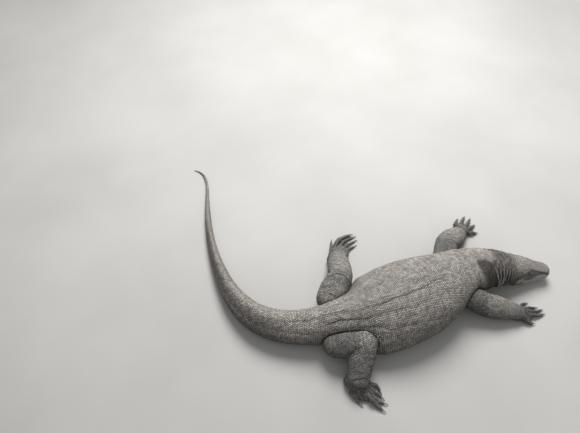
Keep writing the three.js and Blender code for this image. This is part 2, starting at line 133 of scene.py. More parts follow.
SPINE_S = np.arange(TAIL_TIP, SNOUT + 1, 2.0)
SPINE_BEARING = np.radians(at(SPINE_S, "bearing"))
EYE_S = 967  # where along the spine the eyes sit


def walk_spine():
    """Plan positions of the spine's samples in metres, placed so that the eyes fall at EYE_S."""
    middle = np.radians(at((SPINE_S[1:] + SPINE_S[:-1]) / 2, "bearing"))
    steps = np.diff(SPINE_S)[:, None] * np.stack([np.cos(middle), np.sin(middle)], 1) * MM
    path = np.concatenate([[[0, 0]], np.cumsum(steps, 0)])
    at_eyes = [np.interp(EYE_S, SPINE_S, path[:, k]) for k in (0, 1)]
    eyes = sum(EYE_CENTRES.values())[:2] / 2
    return path - at_eyes + eyes


SPINE = walk_spine()
HIPS = np.array([np.interp(0, SPINE_S, SPINE[:, 0]), np.interp(0, SPINE_S, SPINE[:, 1]), 0])


def beside(s, out, height):
    """The point beside the spine: out to the animal's left and height above the floor, all in mm."""
    s, out, height = np.broadcast_arrays(*(np.asarray(v, float) for v in (s, out, height)))
    bearing = np.interp(s, SPINE_S, SPINE_BEARING)
    x = np.interp(s, SPINE_S, SPINE[:, 0]) - np.sin(bearing) * out * MM
    y = np.interp(s, SPINE_S, SPINE[:, 1]) + np.cos(bearing) * out * MM
    return np.stack([x, y, height * MM], -1)


print("hips at", np.round(HIPS, 3), "and snout at", np.round(SPINE[-1], 3))

# %% [markdown]
# A leg is two rounded tubes that meet at the knee or elbow, and a foot is a flat sole with five toes.
# A lizard's leg springs from the side of the body, goes out level and bends down at a sharp angle, so
# each bone is given as a bearing and a slope. Flesh is half of the thickness, across and upright, at
# even steps down the bone. These too are the sizes of the solid part.

# %% The legs' sizes
HIND = {
    "upper": (118, [(66, 60), (68, 66), (62, 63), (58, 59)]),
    "lower": (160, [(57, 56), (57, 56), (53, 51), (45, 41)], 0.55),  # flatter past its end
    "sole": (72, 46, 80),  # length, half width, height
    # each toe: turn towards the middle, place across and along the sole, length, how far its middle bows
    # inwards, radius at the root and at the end
    "toes": [(5, 0.83, 0.57, 47, 9, 8.5, 6), (4, 0.48, 0.81, 48, 1, 8.5, 6), (2, 0.22, 0.92, 64, -9, 10, 6.4),
             (-5, -0.12, 0.72, 88, -5, 15, 7.5), (-11, -0.94, 0, 58, -1, 12, 6.5)],
    "claw": (21, 4.6),  # length, radius at the root
}
FORE = {
    "upper": (125, [(54, 50), (56, 54), (56, 56), (55, 55)]),
    "lower": (168, [(55, 55), (57, 52), (46, 40), (37, 30)], 0.6),
    "sole": (56, 37, 66),
    "toes": [(34, 1, 0.33, 40, 4, 9, 6), (4, 0.95, 0.68, 51, -1, 8, 5.8), (6, 0.54, 0.71, 73, -7, 9, 6.2),
             (1, 0.14, 0.54, 86, -10, 11, 6.8), (-27, -0.5, 0.23, 49, -8, 12, 7.5)],
    "claw": (16, 4.5),
}
HIND_OPEN = dict(HIND, toes=[
    (29, 0.44, 0.81, 52, 0, 9, 6), (26, 0.04, 0.92, 76, -2, 9.5, 6), (22, -0.38, 0.86, 98, -8, 10, 6.2),
    (18, -0.78, 0.67, 114, -14, 14.5, 7.5), (-23, -0.92, 0.28, 62, 0, 10, 6.2)])
FORE_OPEN = dict(FORE, toes=[
    (47, 1.02, 0.25, 40, -1, 11, 7.5), (18, 0.76, 0.66, 44, 0, 10.5, 7.5), (3, 0.19, 0.86, 58, 2, 11, 7.5),
    (-1, -0.49, 0.79, 58, -1, 11, 7.5), (-3, -1.12, 0.43, 45, 0, 11, 7.5)])
# name: side (+1 left), kind, root (s, out, height), upper and lower (bearing, slope), foot
LEGS = {
    "hind_right": (-1, HIND, (-23, 91, 75), (-5, 15), (-103, -23), -42),
    "hind_left": (1, HIND_OPEN, (-5, 116, 79), (64, 9), (91, -24), 62),
    "fore_right": (-1, FORE, (565, 78, 113), (-20, -24), (-9, -10.5), -2),
    "fore_left": (1, FORE_OPEN, (600, 84, 95), (72, -7), (45, -21), 57),
}


def towards(bearing, slope=0):
    """A unit vector from a bearing and a slope in degrees."""
    bearing, slope = np.radians(bearing), np.radians(slope)
    level = np.cos(slope)
    return np.array([np.cos(bearing) * level, np.sin(bearing) * level, np.sin(slope)])


def joints(name):
    """The root, knee or elbow, and ankle or wrist of a leg."""
    side, kind, (s, out, height), upper, lower, _ = LEGS[name]
    root = beside(s, side * out, height)
    bend = root + towards(*upper) * kind["upper"][0] * MM
    return root, bend, bend + towards(*lower) * kind["lower"][0] * MM


for name in LEGS:
    print(name, *(np.round(p - HIPS, 3) for p in joints(name)))

# %% [markdown]
# The first, rough flesh is made of simple closed tubes: rings of points, skinned with faces. There is
# one long tube for the body, two for each leg, one for each sole and one for each toe. They overlap
# freely here, because a voxel remesh then wraps them all in one closed surface, as skin does.

# %% Tubes
FLAT_FROM = 0.0016  # rounded undersides are pressed flat at this height, which leaves room for scales


def tube(rings):
    """Points and faces of a closed tube through equal rings, with a fan at each end."""
    count, sides = len(rings), len(rings[0])
    points = np.concatenate([*rings, [np.mean(rings[0], 0)], [np.mean(rings[-1], 0)]])
    faces = []
    for r in range(count - 1):
        for i in range(sides):
            j = (i + 1) % sides
            faces.append((r * sides + i, r * sides + j, (r + 1) * sides + j, (r + 1) * sides + i))
    last = (count - 1) * sides
    for i in range(sides):
        j = (i + 1) % sides
        faces.append((count * sides, j, i))
        faces.append((count * sides + 1, last + i, last + j))
    points[:, 2] = np.maximum(points[:, 2], FLAT_FROM)
    return points, faces


def section(s, sides, inset=0.0):
    """One ring of the body at s: a superellipse, rounder above and squarer below."""
    angle = 2 * np.pi * (np.arange(sides) + 0.5) / sides
    upper = np.sin(angle) >= 0
    power = 2 / np.where(upper, at(s, "crown"), at(s, "keel"))
    tall = np.where(upper, at(s, "top") - at(s, "level"), at(s, "level") - at(s, "bottom")) - inset
    out = (at(s, "wide") - inset) * np.sign(np.cos(angle)) * np.abs(np.cos(angle)) ** power
    rise = tall * np.sign(np.sin(angle)) * np.abs(np.sin(angle)) ** power
    return beside(s, out, at(s, "level") + rise)


def path_ring(centre, along, across, upright, sides=24):
    """A ring square to a path: across is its level half width and upright the other."""
    level = np.cross([0, 0, 1], along)
    level /= np.linalg.norm(level)
    up = np.cross(along, level)
    angle = 2 * np.pi * (np.arange(sides) + 0.5) / sides
    return centre + across * np.cos(angle)[:, None] * level + upright * np.sin(angle)[:, None] * up


def flesh(start, bone, kind):
    """Flesh round one bone, with a dome past each end."""
    length, thick, flat = kind[0] * MM, np.array(kind[1]) * MM - SKIN_INSET, [1, *kind[2:]][-1]
    along = towards(*bone)
    rings = []
    for t, turn in [(0, a) for a in (-80, -60, -40, -20)] + [(t, 0) for t in np.linspace(0, 1, 12)] + [
        (1, a) for a in (20, 40, 60, 80)
    ]:
        across, upright = (np.interp(t, np.linspace(0, 1, len(thick)), thick[:, k]) for k in (0, 1))
        past, shrink = np.sin(np.radians(turn)) * (flat if t == 1 else 1), np.cos(np.radians(turn))
        rings.append(path_ring(start + along * (length * t + past * across), along, across * shrink,
                               upright * shrink))
    return tube(rings)


SKIN_INSET = 0.0018
body_s = np.arange(TAIL_TIP + 1, SNOUT - 1, 6.0)
forms = {"body": tube([section(s, 96, SKIN_INSET / MM) for s in body_s])}
for name, (side, kind, _, upper, lower, _) in LEGS.items():
    root, bend, ankle = joints(name)
    forms[f"{name}_upper"] = flesh(root, upper, kind["upper"])
    forms[f"{name}_lower"] = flesh(bend, lower, kind["lower"])
print("tubes:", {name: len(points) for name, (points, _) in forms.items()})

# %% Soles and toes
# a sole from behind the heel to the roots of the toes: place along it, share of width, share of height
SOLE = [(-0.75, 0.55, 0.42), (-0.5, 0.9, 0.76), (-0.1, 1, 0.92), (0.35, 0.98, 0.72), (0.75, 0.96, 0.38),
        (1.1, 0.62, 0.24)]
TOE_PAST = 0.003  # how far the flesh of a toe reaches past its end, round the claw's root


def toe_line(name, toe):
    """Points and radii down the middle of a toe, in metres: in the sole, over the knuckle, to the floor."""
    side, kind, _, _, _, foot = LEGS[name]
    length, wide, _ = kind["sole"]
    turn, across, place, reach, bow, root, end = toe
    out, inwards = towards(foot - side * turn), towards(foot - side * (turn + 90))
    from_ankle = towards(foot) * length * place + towards(foot - side * 90) * wide * across
    start = joints(name)[2] + from_ankle * MM
    knots = [(0, root), (0.35, root * 1.6), (0.7, end * 1.5), (1, end * 0.95)]
    line = np.array([
        start + (out * reach + inwards * bow * 4 * (1 - share)) * share * MM
        for share, _ in knots
    ])
    line[:, 2] = [height * MM for _, height in knots]
    fine = np.linspace(0, 1, 14)
    path = catmull(line, fine)
    return path, np.interp(fine, [0, 1], [root * MM, end * MM])


def catmull(knots, places):
    """Points on a smooth curve through the knots, at places from 0 to 1."""
    padded = np.concatenate([[2 * knots[0] - knots[1]], knots, [2 * knots[-1] - knots[-2]]])
    x = np.asarray(places) * (len(knots) - 1)
    i = np.minimum(x.astype(int), len(knots) - 2)
    t = (x - i)[:, None]
    a, b, c, d = (padded[i + k] for k in range(4))
    return 0.5 * (2 * b + (c - a) * t + (2 * a - 5 * b + 4 * c - d) * t**2 + (3 * b - a - 3 * c + d) * t**3)


def toe_form(path, radii):
    """A toe with slight swellings at its joints and a round end that holds the claw's root."""
    along = np.gradient(path, axis=0)
    along /= np.linalg.norm(along, axis=1)[:, None]
    share = np.linspace(0, 1, len(path))
    swell = 1 + 0.07 * np.cos(share * 2 * np.pi * 2.5)
    rings = [path_ring(p, d, r * w, r * w, 16) for p, d, r, w in zip(path, along, radii, swell)]
    for turn in (30, 60):
        c, s = np.cos(np.radians(turn)), np.sin(np.radians(turn))
        past, thick = path[-1] + along[-1] * TOE_PAST * s, radii[-1] * c
        rings.append(path_ring(past, along[-1], thick, thick, 16))
    return tube(rings)


TOES = {}
for name, (side, kind, _, _, _, foot) in LEGS.items():
    ankle, way = joints(name)[2], towards(foot)
    length, wide, high = (v * MM for v in kind["sole"])
    rings = []
    for place, w, h in SOLE:
        centre = ankle + way * length * place
        centre[2] = high * h * 0.42
        rings.append(path_ring(centre, way, wide * w - SKIN_INSET, high * h * 0.58 - SKIN_INSET))
    forms[f"{name}_sole"] = tube(rings)
    for number, toe in enumerate(kind["toes"], 1):
        path, radii = toe_line(name, toe)
        TOES[name, number] = path, radii - SKIN_INSET * 0.6
        forms[f"{name}_toe_{number}"] = toe_form(*TOES[name, number])
print("forms:", len(forms))

# %% [markdown]
# The remesh walks a grid of small cubes and keeps the surface of everything that is inside any form.
# Small cubes keep the gaps between the toes open. The trunk doesn't need them so small, so its part
# of the skin is thinned out at the end, when its folds are in.

# %% Wrap the forms in one skin
def mesh_object(name, points, faces):
    """A new mesh object in the scene from points and faces."""
    mesh = bpy.data.meshes.new(name)
    mesh.from_pydata([tuple(p) for p in points], [], [tuple(f) for f in faces])
    made = bpy.data.objects.new(name, mesh)
    bpy.context.scene.collection.objects.link(made)
    return made


def baked(made):
    """The object's mesh with its modifiers applied, in place of its old one."""
    graph = bpy.context.evaluated_depsgraph_get()
    mesh = bpy.data.meshes.new_from_object(made.evaluated_get(graph))
    made.modifiers.clear()
    made.data = mesh
    return made


def joined(parts):
    """Points and faces of several meshes as one."""
    points, faces, start = [], [], 0
    for p, f in parts:
        points.append(p)
        faces += [tuple(i + start for i in face) for face in f]
        start += len(p)
    return np.concatenate(points), faces


VOXEL = 0.0032
skin = mesh_object("skin", *joined(forms.values()))
wrap = skin.modifiers.new("wrap", "REMESH")
wrap.mode, wrap.voxel_size, wrap.use_smooth_shade = "VOXEL", VOXEL, True
baked(skin)
print("wrapped skin:", len(skin.data.vertices), "points,", len(skin.data.polygons), "faces")

# %% [markdown]
# Each point of the skin is told which form it belongs to, and where on that form it lies. For every
# form a number is worked out that is 1 on its surface and grows outside it; the form with the lowest
# number owns the point. The second lowest says how near the next form is, and so where creases run.

# %% Places on the skin
def vectors(mesh_data, attribute, width, kind=float):
    """A flat property of mesh elements as a table with the given width."""
    values = np.empty(len(mesh_data) * width, kind)
    mesh_data.foreach_get(attribute, values)
    return values.reshape(-1, width)


def body_place(points):
    """s, out, height (mm) and angle from the top (degrees, left positive) of points, about the spine."""
    coarse = np.arange(0, len(SPINE_S), 6)
    nearest = np.empty(len(points), int)
    for start in range(0, len(points), 20000):
        chunk = points[start : start + 20000, None, :2] - SPINE[coarse][None]
        nearest[start : start + 20000] = coarse[(chunk**2).sum(2).argmin(1)]
    s = SPINE_S[nearest].copy()
    for _ in range(3):
        bearing = np.interp(s, SPINE_S, SPINE_BEARING)
        ahead = points[:, :2] - beside(s, 0, 0)[:, :2]
        s = s + (ahead[:, 0] * np.cos(bearing) + ahead[:, 1] * np.sin(bearing)) / MM
        s = np.clip(s, TAIL_TIP, SNOUT)
    bearing = np.interp(s, SPINE_S, SPINE_BEARING)
    ahead = points[:, :2] - beside(s, 0, 0)[:, :2]
    out = (ahead[:, 1] * np.cos(bearing) - ahead[:, 0] * np.sin(bearing)) / MM
    height = points[:, 2] / MM
    return s, out, height, np.degrees(np.arctan2(out, height - at(s, "level")))


def body_share(s, out, height):
    """How far out a point is: 1 on the outline of the body, more outside it."""
    level = at(s, "level")
    tall = np.where(height > level, at(s, "top") - level, level - at(s, "bottom"))
    power = np.where(height > level, at(s, "crown"), at(s, "keel"))
    return ((np.abs(out) / at(s, "wide")) ** power + (np.abs(height - level) / tall) ** power) ** (1 / power)


def bone_place(points, start, bone, kind):
    """Share along a bone, and share outwards, of points round one limb bone."""
    length, thick = kind[0] * MM, np.array(kind[1]) * MM
    along = towards(*bone)
    away = points - start
    t = np.clip(away @ along / length, 0, 1)
    off = away - t[:, None] * length * along
    level = np.cross([0, 0, 1], along)
    level /= np.linalg.norm(level)
    up = np.cross(along, level)
    shares = np.linspace(0, 1, len(thick))
    across, upright = np.interp(t, shares, thick[:, 0]), np.interp(t, shares, thick[:, 1])
    end = off @ along / across / np.where((t == 1) & (len(kind) > 2), 0.6, 1)
    return t, np.sqrt((off @ level / across) ** 2 + (off @ up / upright) ** 2 + end**2)


def sole_place(points, name):
    """Place along the sole and share outwards."""
    _, kind, _, _, _, foot = LEGS[name]
    length, wide, high = (v * MM for v in kind["sole"])
    way = towards(foot)
    away = points - joints(name)[2]
    place = away @ way / length
    table = np.array(SOLE)
    inside = np.clip(place, table[0, 0], table[-1, 0])
    w = np.interp(inside, table[:, 0], table[:, 1]) * wide
    h = np.interp(inside, table[:, 0], table[:, 2]) * high
    level = away @ np.cross([0, 0, 1], way)
    end = (place - inside) * length / (0.3 * w)
    return place, np.sqrt((level / w) ** 2 + ((points[:, 2] - 0.42 * h) / (0.58 * h)) ** 2 + end**2)


def toe_place(points, path, radii):
    """Share along a toe and share outwards."""
    distance = np.linalg.norm(points[:, None] - path[None], axis=2)
    nearest = (distance / radii).argmin(1)
    here = distance[np.arange(len(points)), nearest]
    return nearest / (len(path) - 1), here / radii[nearest]


FORM_NAMES = list(forms)


def toes_of(name):
    """The names of the forms of one foot's toes."""
    return [f"{name}_toe_{number}" for number in range(1, 6)]


class Places:
    """Where each of a set of points lies: its own form, and its place on the body and on each form."""

    def __init__(self, points):
        self.s, self.out, self.height, self.turn = body_place(points)
        shares = np.full((len(points), len(FORM_NAMES)), 9.0)
        self.along = np.zeros((len(points), len(FORM_NAMES)))
        shares[:, 0] = body_share(self.s, self.out, self.height)
        for name, (_, kind, _, upper, lower, _) in LEGS.items():
            root, bend, ankle = joints(name)
            for part, start, bone in (("upper", root, upper), ("lower", bend, lower)):
                k = FORM_NAMES.index(f"{name}_{part}")
                self.along[:, k], shares[:, k] = bone_place(points, start, bone, kind[part])
            k = FORM_NAMES.index(f"{name}_sole")
            self.along[:, k], shares[:, k] = sole_place(points, name)
            near = np.flatnonzero(np.linalg.norm(points - ankle, axis=1) < 0.25)
            for number in range(1, 6):
                k = FORM_NAMES.index(f"{name}_toe_{number}")
                self.along[near, k], shares[near, k] = toe_place(points[near], *TOES[name, number])
        self.owner = shares.argmin(1)
        rows = np.arange(len(points))
        lowest = shares[rows, self.owner]
        shares[rows, self.owner] = 99
        self.neighbour = shares.argmin(1)
        self.crease = np.exp(-(((shares[rows, self.neighbour] - lowest) / 0.16) ** 2))

    def take(self, chosen):
        """The places of some of the points."""
        some = object.__new__(Places)
        for key, values in vars(self).items():
            setattr(some, key, values[chosen])
        return some

    def on(self, *names):
        """True for the points that these forms own."""
        return np.isin(self.owner, [FORM_NAMES.index(n) for n in names])


print("forms in order:", FORM_NAMES[:6], "...")

# %% [markdown]
# The head is small and is looked at most, so its faces are cut in four before any detail goes in.

# %% Finer faces on the head
import bmesh

HEAD_FROM = 868  # where the neck ends and the head begins, in mm from the hips


def refine(made, chosen):
    """Cuts the faces whose middles are chosen in four."""
    mesh = bmesh.new()
    mesh.from_mesh(made.data)
    middles = np.array([f.calc_center_median() for f in mesh.faces])
    picked = np.flatnonzero(chosen(middles))
    mesh.faces.ensure_lookup_table()
    edges = {e for i in picked for e in mesh.faces[i].edges}
    bmesh.ops.subdivide_edges(mesh, edges=sorted(edges, key=lambda e: e.index), cuts=1, use_grid_fill=True)
    mesh.to_mesh(made.data)
    mesh.free()


def in_head(middles):
    s, out, _, _ = body_place(middles)
    return (s > HEAD_FROM) & (np.abs(out) < at(s, "wide") + 10)


refine(skin, in_head)
points = vectors(skin.data.vertices, "co", 3)
place = Places(points)
counts = np.bincount(place.owner, minlength=len(FORM_NAMES))
print(len(points), "points;", {n: int(c) for n, c in zip(FORM_NAMES, counts) if "toe" not in n})

# %% [markdown]
# Flesh is soft, so forms melt into each other where they meet. Moving each point towards the middle
# of its neighbours does that. It is strong at knees, elbows, wrists and toes, and weak where the thigh
# and shoulder meet the trunk, since a lizard has a sharp crease there.

# %% Melt the joints
def edge_table(mesh):
    """Pairs of joined points."""
    return vectors(mesh.edges, "vertices", 2, np.int32)


def spread(edges, values, count):
    """Each point's mean over its neighbours."""
    total = np.zeros((count, values.shape[1]))
    for a, b in ((0, 1), (1, 0)):
        for k in range(values.shape[1]):
            total[:, k] += np.bincount(edges[:, a], values[edges[:, b], k], count)
    degree = np.bincount(edges.ravel(), minlength=count)
    return total / np.maximum(degree, 1)[:, None]


def relax(points, edges, weight, times):
    """Moves points towards their neighbours' middle, each by its own weight."""
    for _ in range(times):
        points = points + weight[:, None] * (spread(edges, points, len(points)) - points)
    return points


edges = edge_table(skin.data)
is_trunk_leg = (place.owner == 0) | (place.neighbour == 0)
toe_forms = [k for k, n in enumerate(FORM_NAMES) if "_toe_" in n]
is_toe = np.isin(place.owner, toe_forms)
weight = 0.03 + 0.5 * place.crease * np.where(is_trunk_leg, 0.2, 1.0)
weight = np.where(is_toe, np.minimum(weight, 0.12), weight)
weight = np.where((place.s > HEAD_FROM) & (place.owner == 0), 0.15, weight)
weight = spread(edges, weight[:, None], len(points))[:, 0]
points = relax(points, edges, weight, 30)
print("largest move of a point at a joint: %.1f mm" % (np.linalg.norm(
    points - vectors(skin.data.vertices, "co", 3), axis=1).max() / MM))

# %% [markdown]
# Folds, furrows and ridges are moves of the skin along its own normal. Each is a short formula in the
# places of the last step: how far along the spine, how far round the body, how far down a limb. The
# tops of folds stay within about 2 mm of the solid part, and the furrows between them go in.

# %% Shapes to carve with
from mathutils import noise


def bell(x, middle=0.0, width=1.0):
    """1 at the middle, falling smoothly to nothing about two widths away."""
    return np.exp(-(((x - middle) / width) ** 2))


def step(x, start, end):
    """0 before start and 1 after end, with a smooth change between."""
    t = np.clip((x - start) / (end - start), 0, 1)
    return t * t * (3 - 2 * t)


def between(x, start, end, soft):
    """1 between start and end, fading over soft on either side."""
    return step(x, start - soft, start + soft) * (1 - step(x, end - soft, end + soft))


def clouds(points, size, seed):
    """Smooth noise from -1 to 1 at points, with lumps of about this size in metres."""
    shift = Vector((seed * 3.1, seed * 1.7, seed * 0.9))
    return np.array([noise.noise(Vector(p) / size + shift) for p in points])


def normals_of(mesh, points):
    """Point normals of a mesh whose points have moved."""
    mesh.vertices.foreach_set("co", points.astype(np.float32).ravel())
    mesh.update()
    return vectors(mesh.vertices, "normal", 3).astype(float)


print("noise at the hips: %.3f" % clouds(HIPS[None], 0.05, 1)[0])

# %% [markdown]
# The trunk and tail: a low ridge runs down the middle of the back between two furrows. Slack skin lies
# in long creases over the hips, in a fold along each flank, and in a fan of creases in front of each
# thigh. Thin creases run along the back, and short folds cross the knee, elbow, ankle and flank.
# Behind the head the loose skin of the neck hangs in upright folds, with the deepest where the neck
# meets the shoulders.

# %% Carve the body
RIDGE = ((-1150, 4), (-480, 8), (-310, 2), (-20, 2), (110, -12), (228, -22), (517, -22), (640, -8))
FURROW_RIGHT = ((-200, -14), (-40, -37), (60, -53), (184, -76), (296, -87), (477, -78), (560, -66))
FURROW_LEFT = ((-60, 30), (60, 42), (234, 70), (339, 66), (470, 82), (560, 74))
FLANK = ((0, 35), (117, 41), (160, 46), (234, 52), (288, 57), (400, 67), (520, 76))  # s and angle
# thin ridges of loose skin on the side of the neck:
# s at 55 degrees from the top, slant in mm per degree, height
NECK_RIDGES = ((736, 0.35, 0.5), (768, -0.34, 1.0), (786, -0.05, 0.6), (801, 0.17, 1.0), (816, 0.40, 0.9),
               (833, 0.42, 0.6), (851, 0.45, 1.0), (868, 0.38, 0.5))
CREASE_WIDTH = 3.4  # half the width of a thin crease of the back, in mm
CREASE_FADE = 35  # how softly it starts and ends, in mm
# long thin creases of the back: depth in mm, then s and out
BACK_CREASES = ((1.5, ((-215, -9), (-60, -4), (60, -3), (150, -6), (215, -8))),
                (2.8, ((150, -27), (236, -26), (327, -31), (395, -22), (480, -17))),
                (2.0, ((-90, -42), (-5, -36), (63, -48), (111, -58), (200, -58))),
                (1.4, ((120, -66), (177, -62), (245, -76))), (1.5, ((60, -70), (131, -98), (185, -134))),
                (1.2, ((235, -14), (321, 0), (420, 16), (510, 8))), (1.2, ((-80, 30), (60, 42), (234, 66))))
# folds across a limb or the flank: depth and half width in mm, then places in mm from the hips
FOLDS = ((3.6, 3.2, ((-38, 186, 126), (-30, 192, 137), (3, 198, 151),
                     (33, 193, 150), (53, 177, 134), (66, 168, 112))),
         (3.4, 3.0, ((540, 398, 130), (546, 393, 135), (571, 392, 130), (590, 380, 111), (597, 368, 98))),
         (3.4, 2.8, ((45, -253, 70), (60, -253, 80), (88, -248, 87), (99, -247, 83), (121, -236, 67))),
         (2.4, 3.0, ((12, -161, 78), (51, -155, 121), (71, -139, 141))),
         (1.6, 2.6, ((90, -158, 140), (123, -163, 131))), (1.8, 2.8, ((234, -93, 159), (261, -105, 135))))


def follow(s, line):
    """The value of a drawn line at s."""
    return np.interp(s, *zip(*line))


def back_creases(s, out, spots):
    """Depth in mm of the thin creases of the back."""
    deep, wander = np.zeros(len(s)), 2.2 * clouds(spots, 0.05, 23)
    for depth, line in BACK_CREASES:
        length = between(s, line[0][0], line[-1][0], CREASE_FADE)
        deep = np.maximum(deep, depth * length * bell(out + wander, follow(s, line), CREASE_WIDTH))
    return deep


def folds(spots):
    """Depth in mm of the folds across the limbs and the flank."""
    deep, local = np.zeros(len(spots)), (spots - HIPS) / MM
    for depth, width, path in FOLDS:
        for start, end in zip(np.array(path, float), np.array(path[1:], float)):
            share = np.clip((local - start) @ (end - start) / ((end - start) @ (end - start)), 0, 1)
            away = np.linalg.norm(local - start - share[:, None] * (end - start), axis=1)
            deep = np.maximum(deep, depth * bell(away, 0, width))
    return deep


def neck_ridges(s, round_):
    """How slack the skin of the neck is at a place, and how far up a ridge the place lies, both 0 to 1."""
    slack = between(s, 748, 874, 14) * between(round_, 36, 156, 13)
    ridge = np.zeros(len(s))
    for middle, slant, height in NECK_RIDGES:
        line = middle - slant * (round_ - 55) + 2 * np.sin(round_ / 13 + middle)
        ridge = np.maximum(ridge, height * bell(s, line, 3.3))
    return slack, ridge


def body_rise(place, points):
    """How far the skin of the body rises, in mm."""
    s, out, round_ = place.s, place.out, np.abs(place.turn)
    wander, ripple, patchy = clouds(points, 0.09, 2), clouds(points, 0.03, 3), clouds(points, 0.13, 4)
    girth = at(s, "wide")
    uneven = np.clip(0.75 + 0.6 * patchy, 0.2, 1.3)
    rise = 0.7 * wander + 0.4 * ripple - back_creases(s, out, points) - folds(points)

    crest = between(s, -1150, 600, 80) * (round_ < 90)
    narrow = np.minimum(girth * 0.1, 6.5)
    ridge = follow(s, RIDGE) * np.minimum(girth / 60, 1)
    rise += crest * (1.3 * bell(out, ridge, narrow) - 1.3 * bell(out, ridge - 2.1 * narrow, narrow))
    back = between(s, -120, 540, 90) * (round_ < 80)
    rise -= back * 2.6 * uneven * bell(out + 6 * wander, follow(s, FURROW_RIGHT), 11)
    rise -= back * 2.2 * uneven * bell(out + 6 * wander, follow(s, FURROW_LEFT), 12)
    rise += back * 1.0 * bell(out + 6 * wander, follow(s, FURROW_LEFT) + 26, 10)
    rise -= back * 0.9 * uneven * bell(out + 8 * ripple, follow(s, FURROW_RIGHT) - 30, 5)

    roof = between(s, -1200, -190, 70)
    rise -= roof * 0.07 * girth * bell(round_, 40, 17)
    rise -= roof * 0.03 * girth * bell(round_, 88, 12)

    over_hips = between(s, -240, 150, 60) * (round_ < 75)
    for line, depth, width in ((-34, 1.3, 3.2), (-58, 1.6, 4.5), (-80, 0.9, 3), (28, 0.7, 3), (50, 1.2, 4)):
        drift = line + 7 * np.sin(s / 71 + line) + 9 * wander
        rise -= over_hips * depth * uneven * bell(out, drift, width)

    ribs = 0.5 + 0.5 * np.cos((s + 0.45 * round_ + 9 * wander) * 2 * np.pi / 27)
    rise -= between(s, 170, 520, 60) * between(round_, 24, 74, 16) * uneven * 0.9 * ribs

    flank = between(s, 20, 520, 40)
    rise -= flank * uneven * 2.4 * bell(round_ + 3 * wander, follow(s, FLANK), 3.4)
    low = between(s, 100, 540, 50)
    level = 80 - 6 * np.sin((s - 110) / 430 * np.pi) + 6 * wander
    rise -= low * 2.6 * uneven * bell(round_, level, 4)
    rise += low * 0.8 * bell(round_, level + 8, 4)

    reach = np.hypot(s - 30, (round_ - 88) * 2.6)
    heading = np.degrees(np.arctan2((round_ - 88) * 2.6, s - 30)) + 12 * wander + 5 * ripple
    fan = between(reach, 60, 190, 35) * between(heading, -62, 52, 14) * (s > 20)
    rise -= fan * 1.9 * uneven * (0.5 - 0.5 * np.cos(np.radians(heading) * 2 * np.pi / np.radians(19)))

    rise -= 2.6 * bell(s + 0.25 * round_ + 8 * wander, 545, 13) * between(round_, 15, 95, 12)
    rise -= 4.2 * bell(s - 0.18 * round_, 640, 9) * between(round_, 32, 130, 16)
    rise += 1.2 * bell(s - 0.18 * round_, 622, 9) * between(round_, 32, 130, 16)
    slack, ridge = neck_ridges(s + 4 * wander + 1.5 * ripple, round_)
    rise -= 4.6 * slack * (1 - ridge)
    rise -= 0.8 * between(s, 690, 868, 20) * (1 - slack) * (1 - neck_ridges(s, 50 + 0 * round_)[1])
    return rise


is_body = place.owner == 0
rise = np.where(is_body, body_rise(place, points), 0)
UPPERS = [FORM_NAMES.index(f"{name}_upper") for name in LEGS]


def limb_crease(place):
    """1 in the crease where a thigh or shoulder meets the trunk, falling to 0 beside it."""
    meets = (place.owner == 0) & np.isin(place.neighbour, UPPERS)
    meets |= (place.neighbour == 0) & np.isin(place.owner, UPPERS)
    return meets * step(place.crease, 0.70, 0.97)


# how deep the crease is at the knee or elbow and at the ankle or wrist
BEND_CREASES = {"hind_right": (0, 0.5), "hind_left": (0.2, 0.9),
                "fore_right": (0, 0.3), "fore_left": (0.2, 0.9)}


def joint_crease(place):
    """Up to 1 in the creases where two parts of one limb meet."""
    deep = np.zeros(len(place.s))
    for name, weights in BEND_CREASES.items():
        upper, lower, sole = (FORM_NAMES.index(f"{name}_{part}") for part in ("upper", "lower", "sole"))
        for a, b, weight, low in ((upper, lower, weights[0], 0.93), (lower, sole, weights[1], 0.76)):
            pair = (place.owner == a) & (place.neighbour == b) | (place.owner == b) & (place.neighbour == a)
            deep += pair * weight * step(place.crease, low, 0.998)
    return deep


def toe_gaps(spots):
    """1 in the grooves that run back over each foot from between its toes, falling to 0 beside them."""
    deep = np.zeros(len(spots))
    for name in LEGS:
        for number in range(1, 5):
            line = (TOES[name, number][0] + TOES[name, number + 1][0])[:, :2] / 2
            run = (line[6] - line[0]) * 1.45
            past = spots[:, :2] - (line[6] - run)
            share = np.clip(past @ run / (run @ run), 0, 1)
            away = np.linalg.norm(past - share[:, None] * run, axis=1) / MM
            deep = np.maximum(deep, bell(away, 0, 2.4) * step(share, 0, 0.4))
    return deep * (spots[:, 2] > 6 * MM)


rise -= 4.6 * limb_crease(place)
print("body carved by %.1f to %.1f mm" % (rise.min(), rise.max()))

# %% [markdown]
# The legs: skin bunches in short folds where a limb bends, on the inside of the knee and elbow and
# across the front of the ankle and wrist. Tendons show over the foot, a groove parts each toe from
# the next, and each toe has a fold over each of its joints.

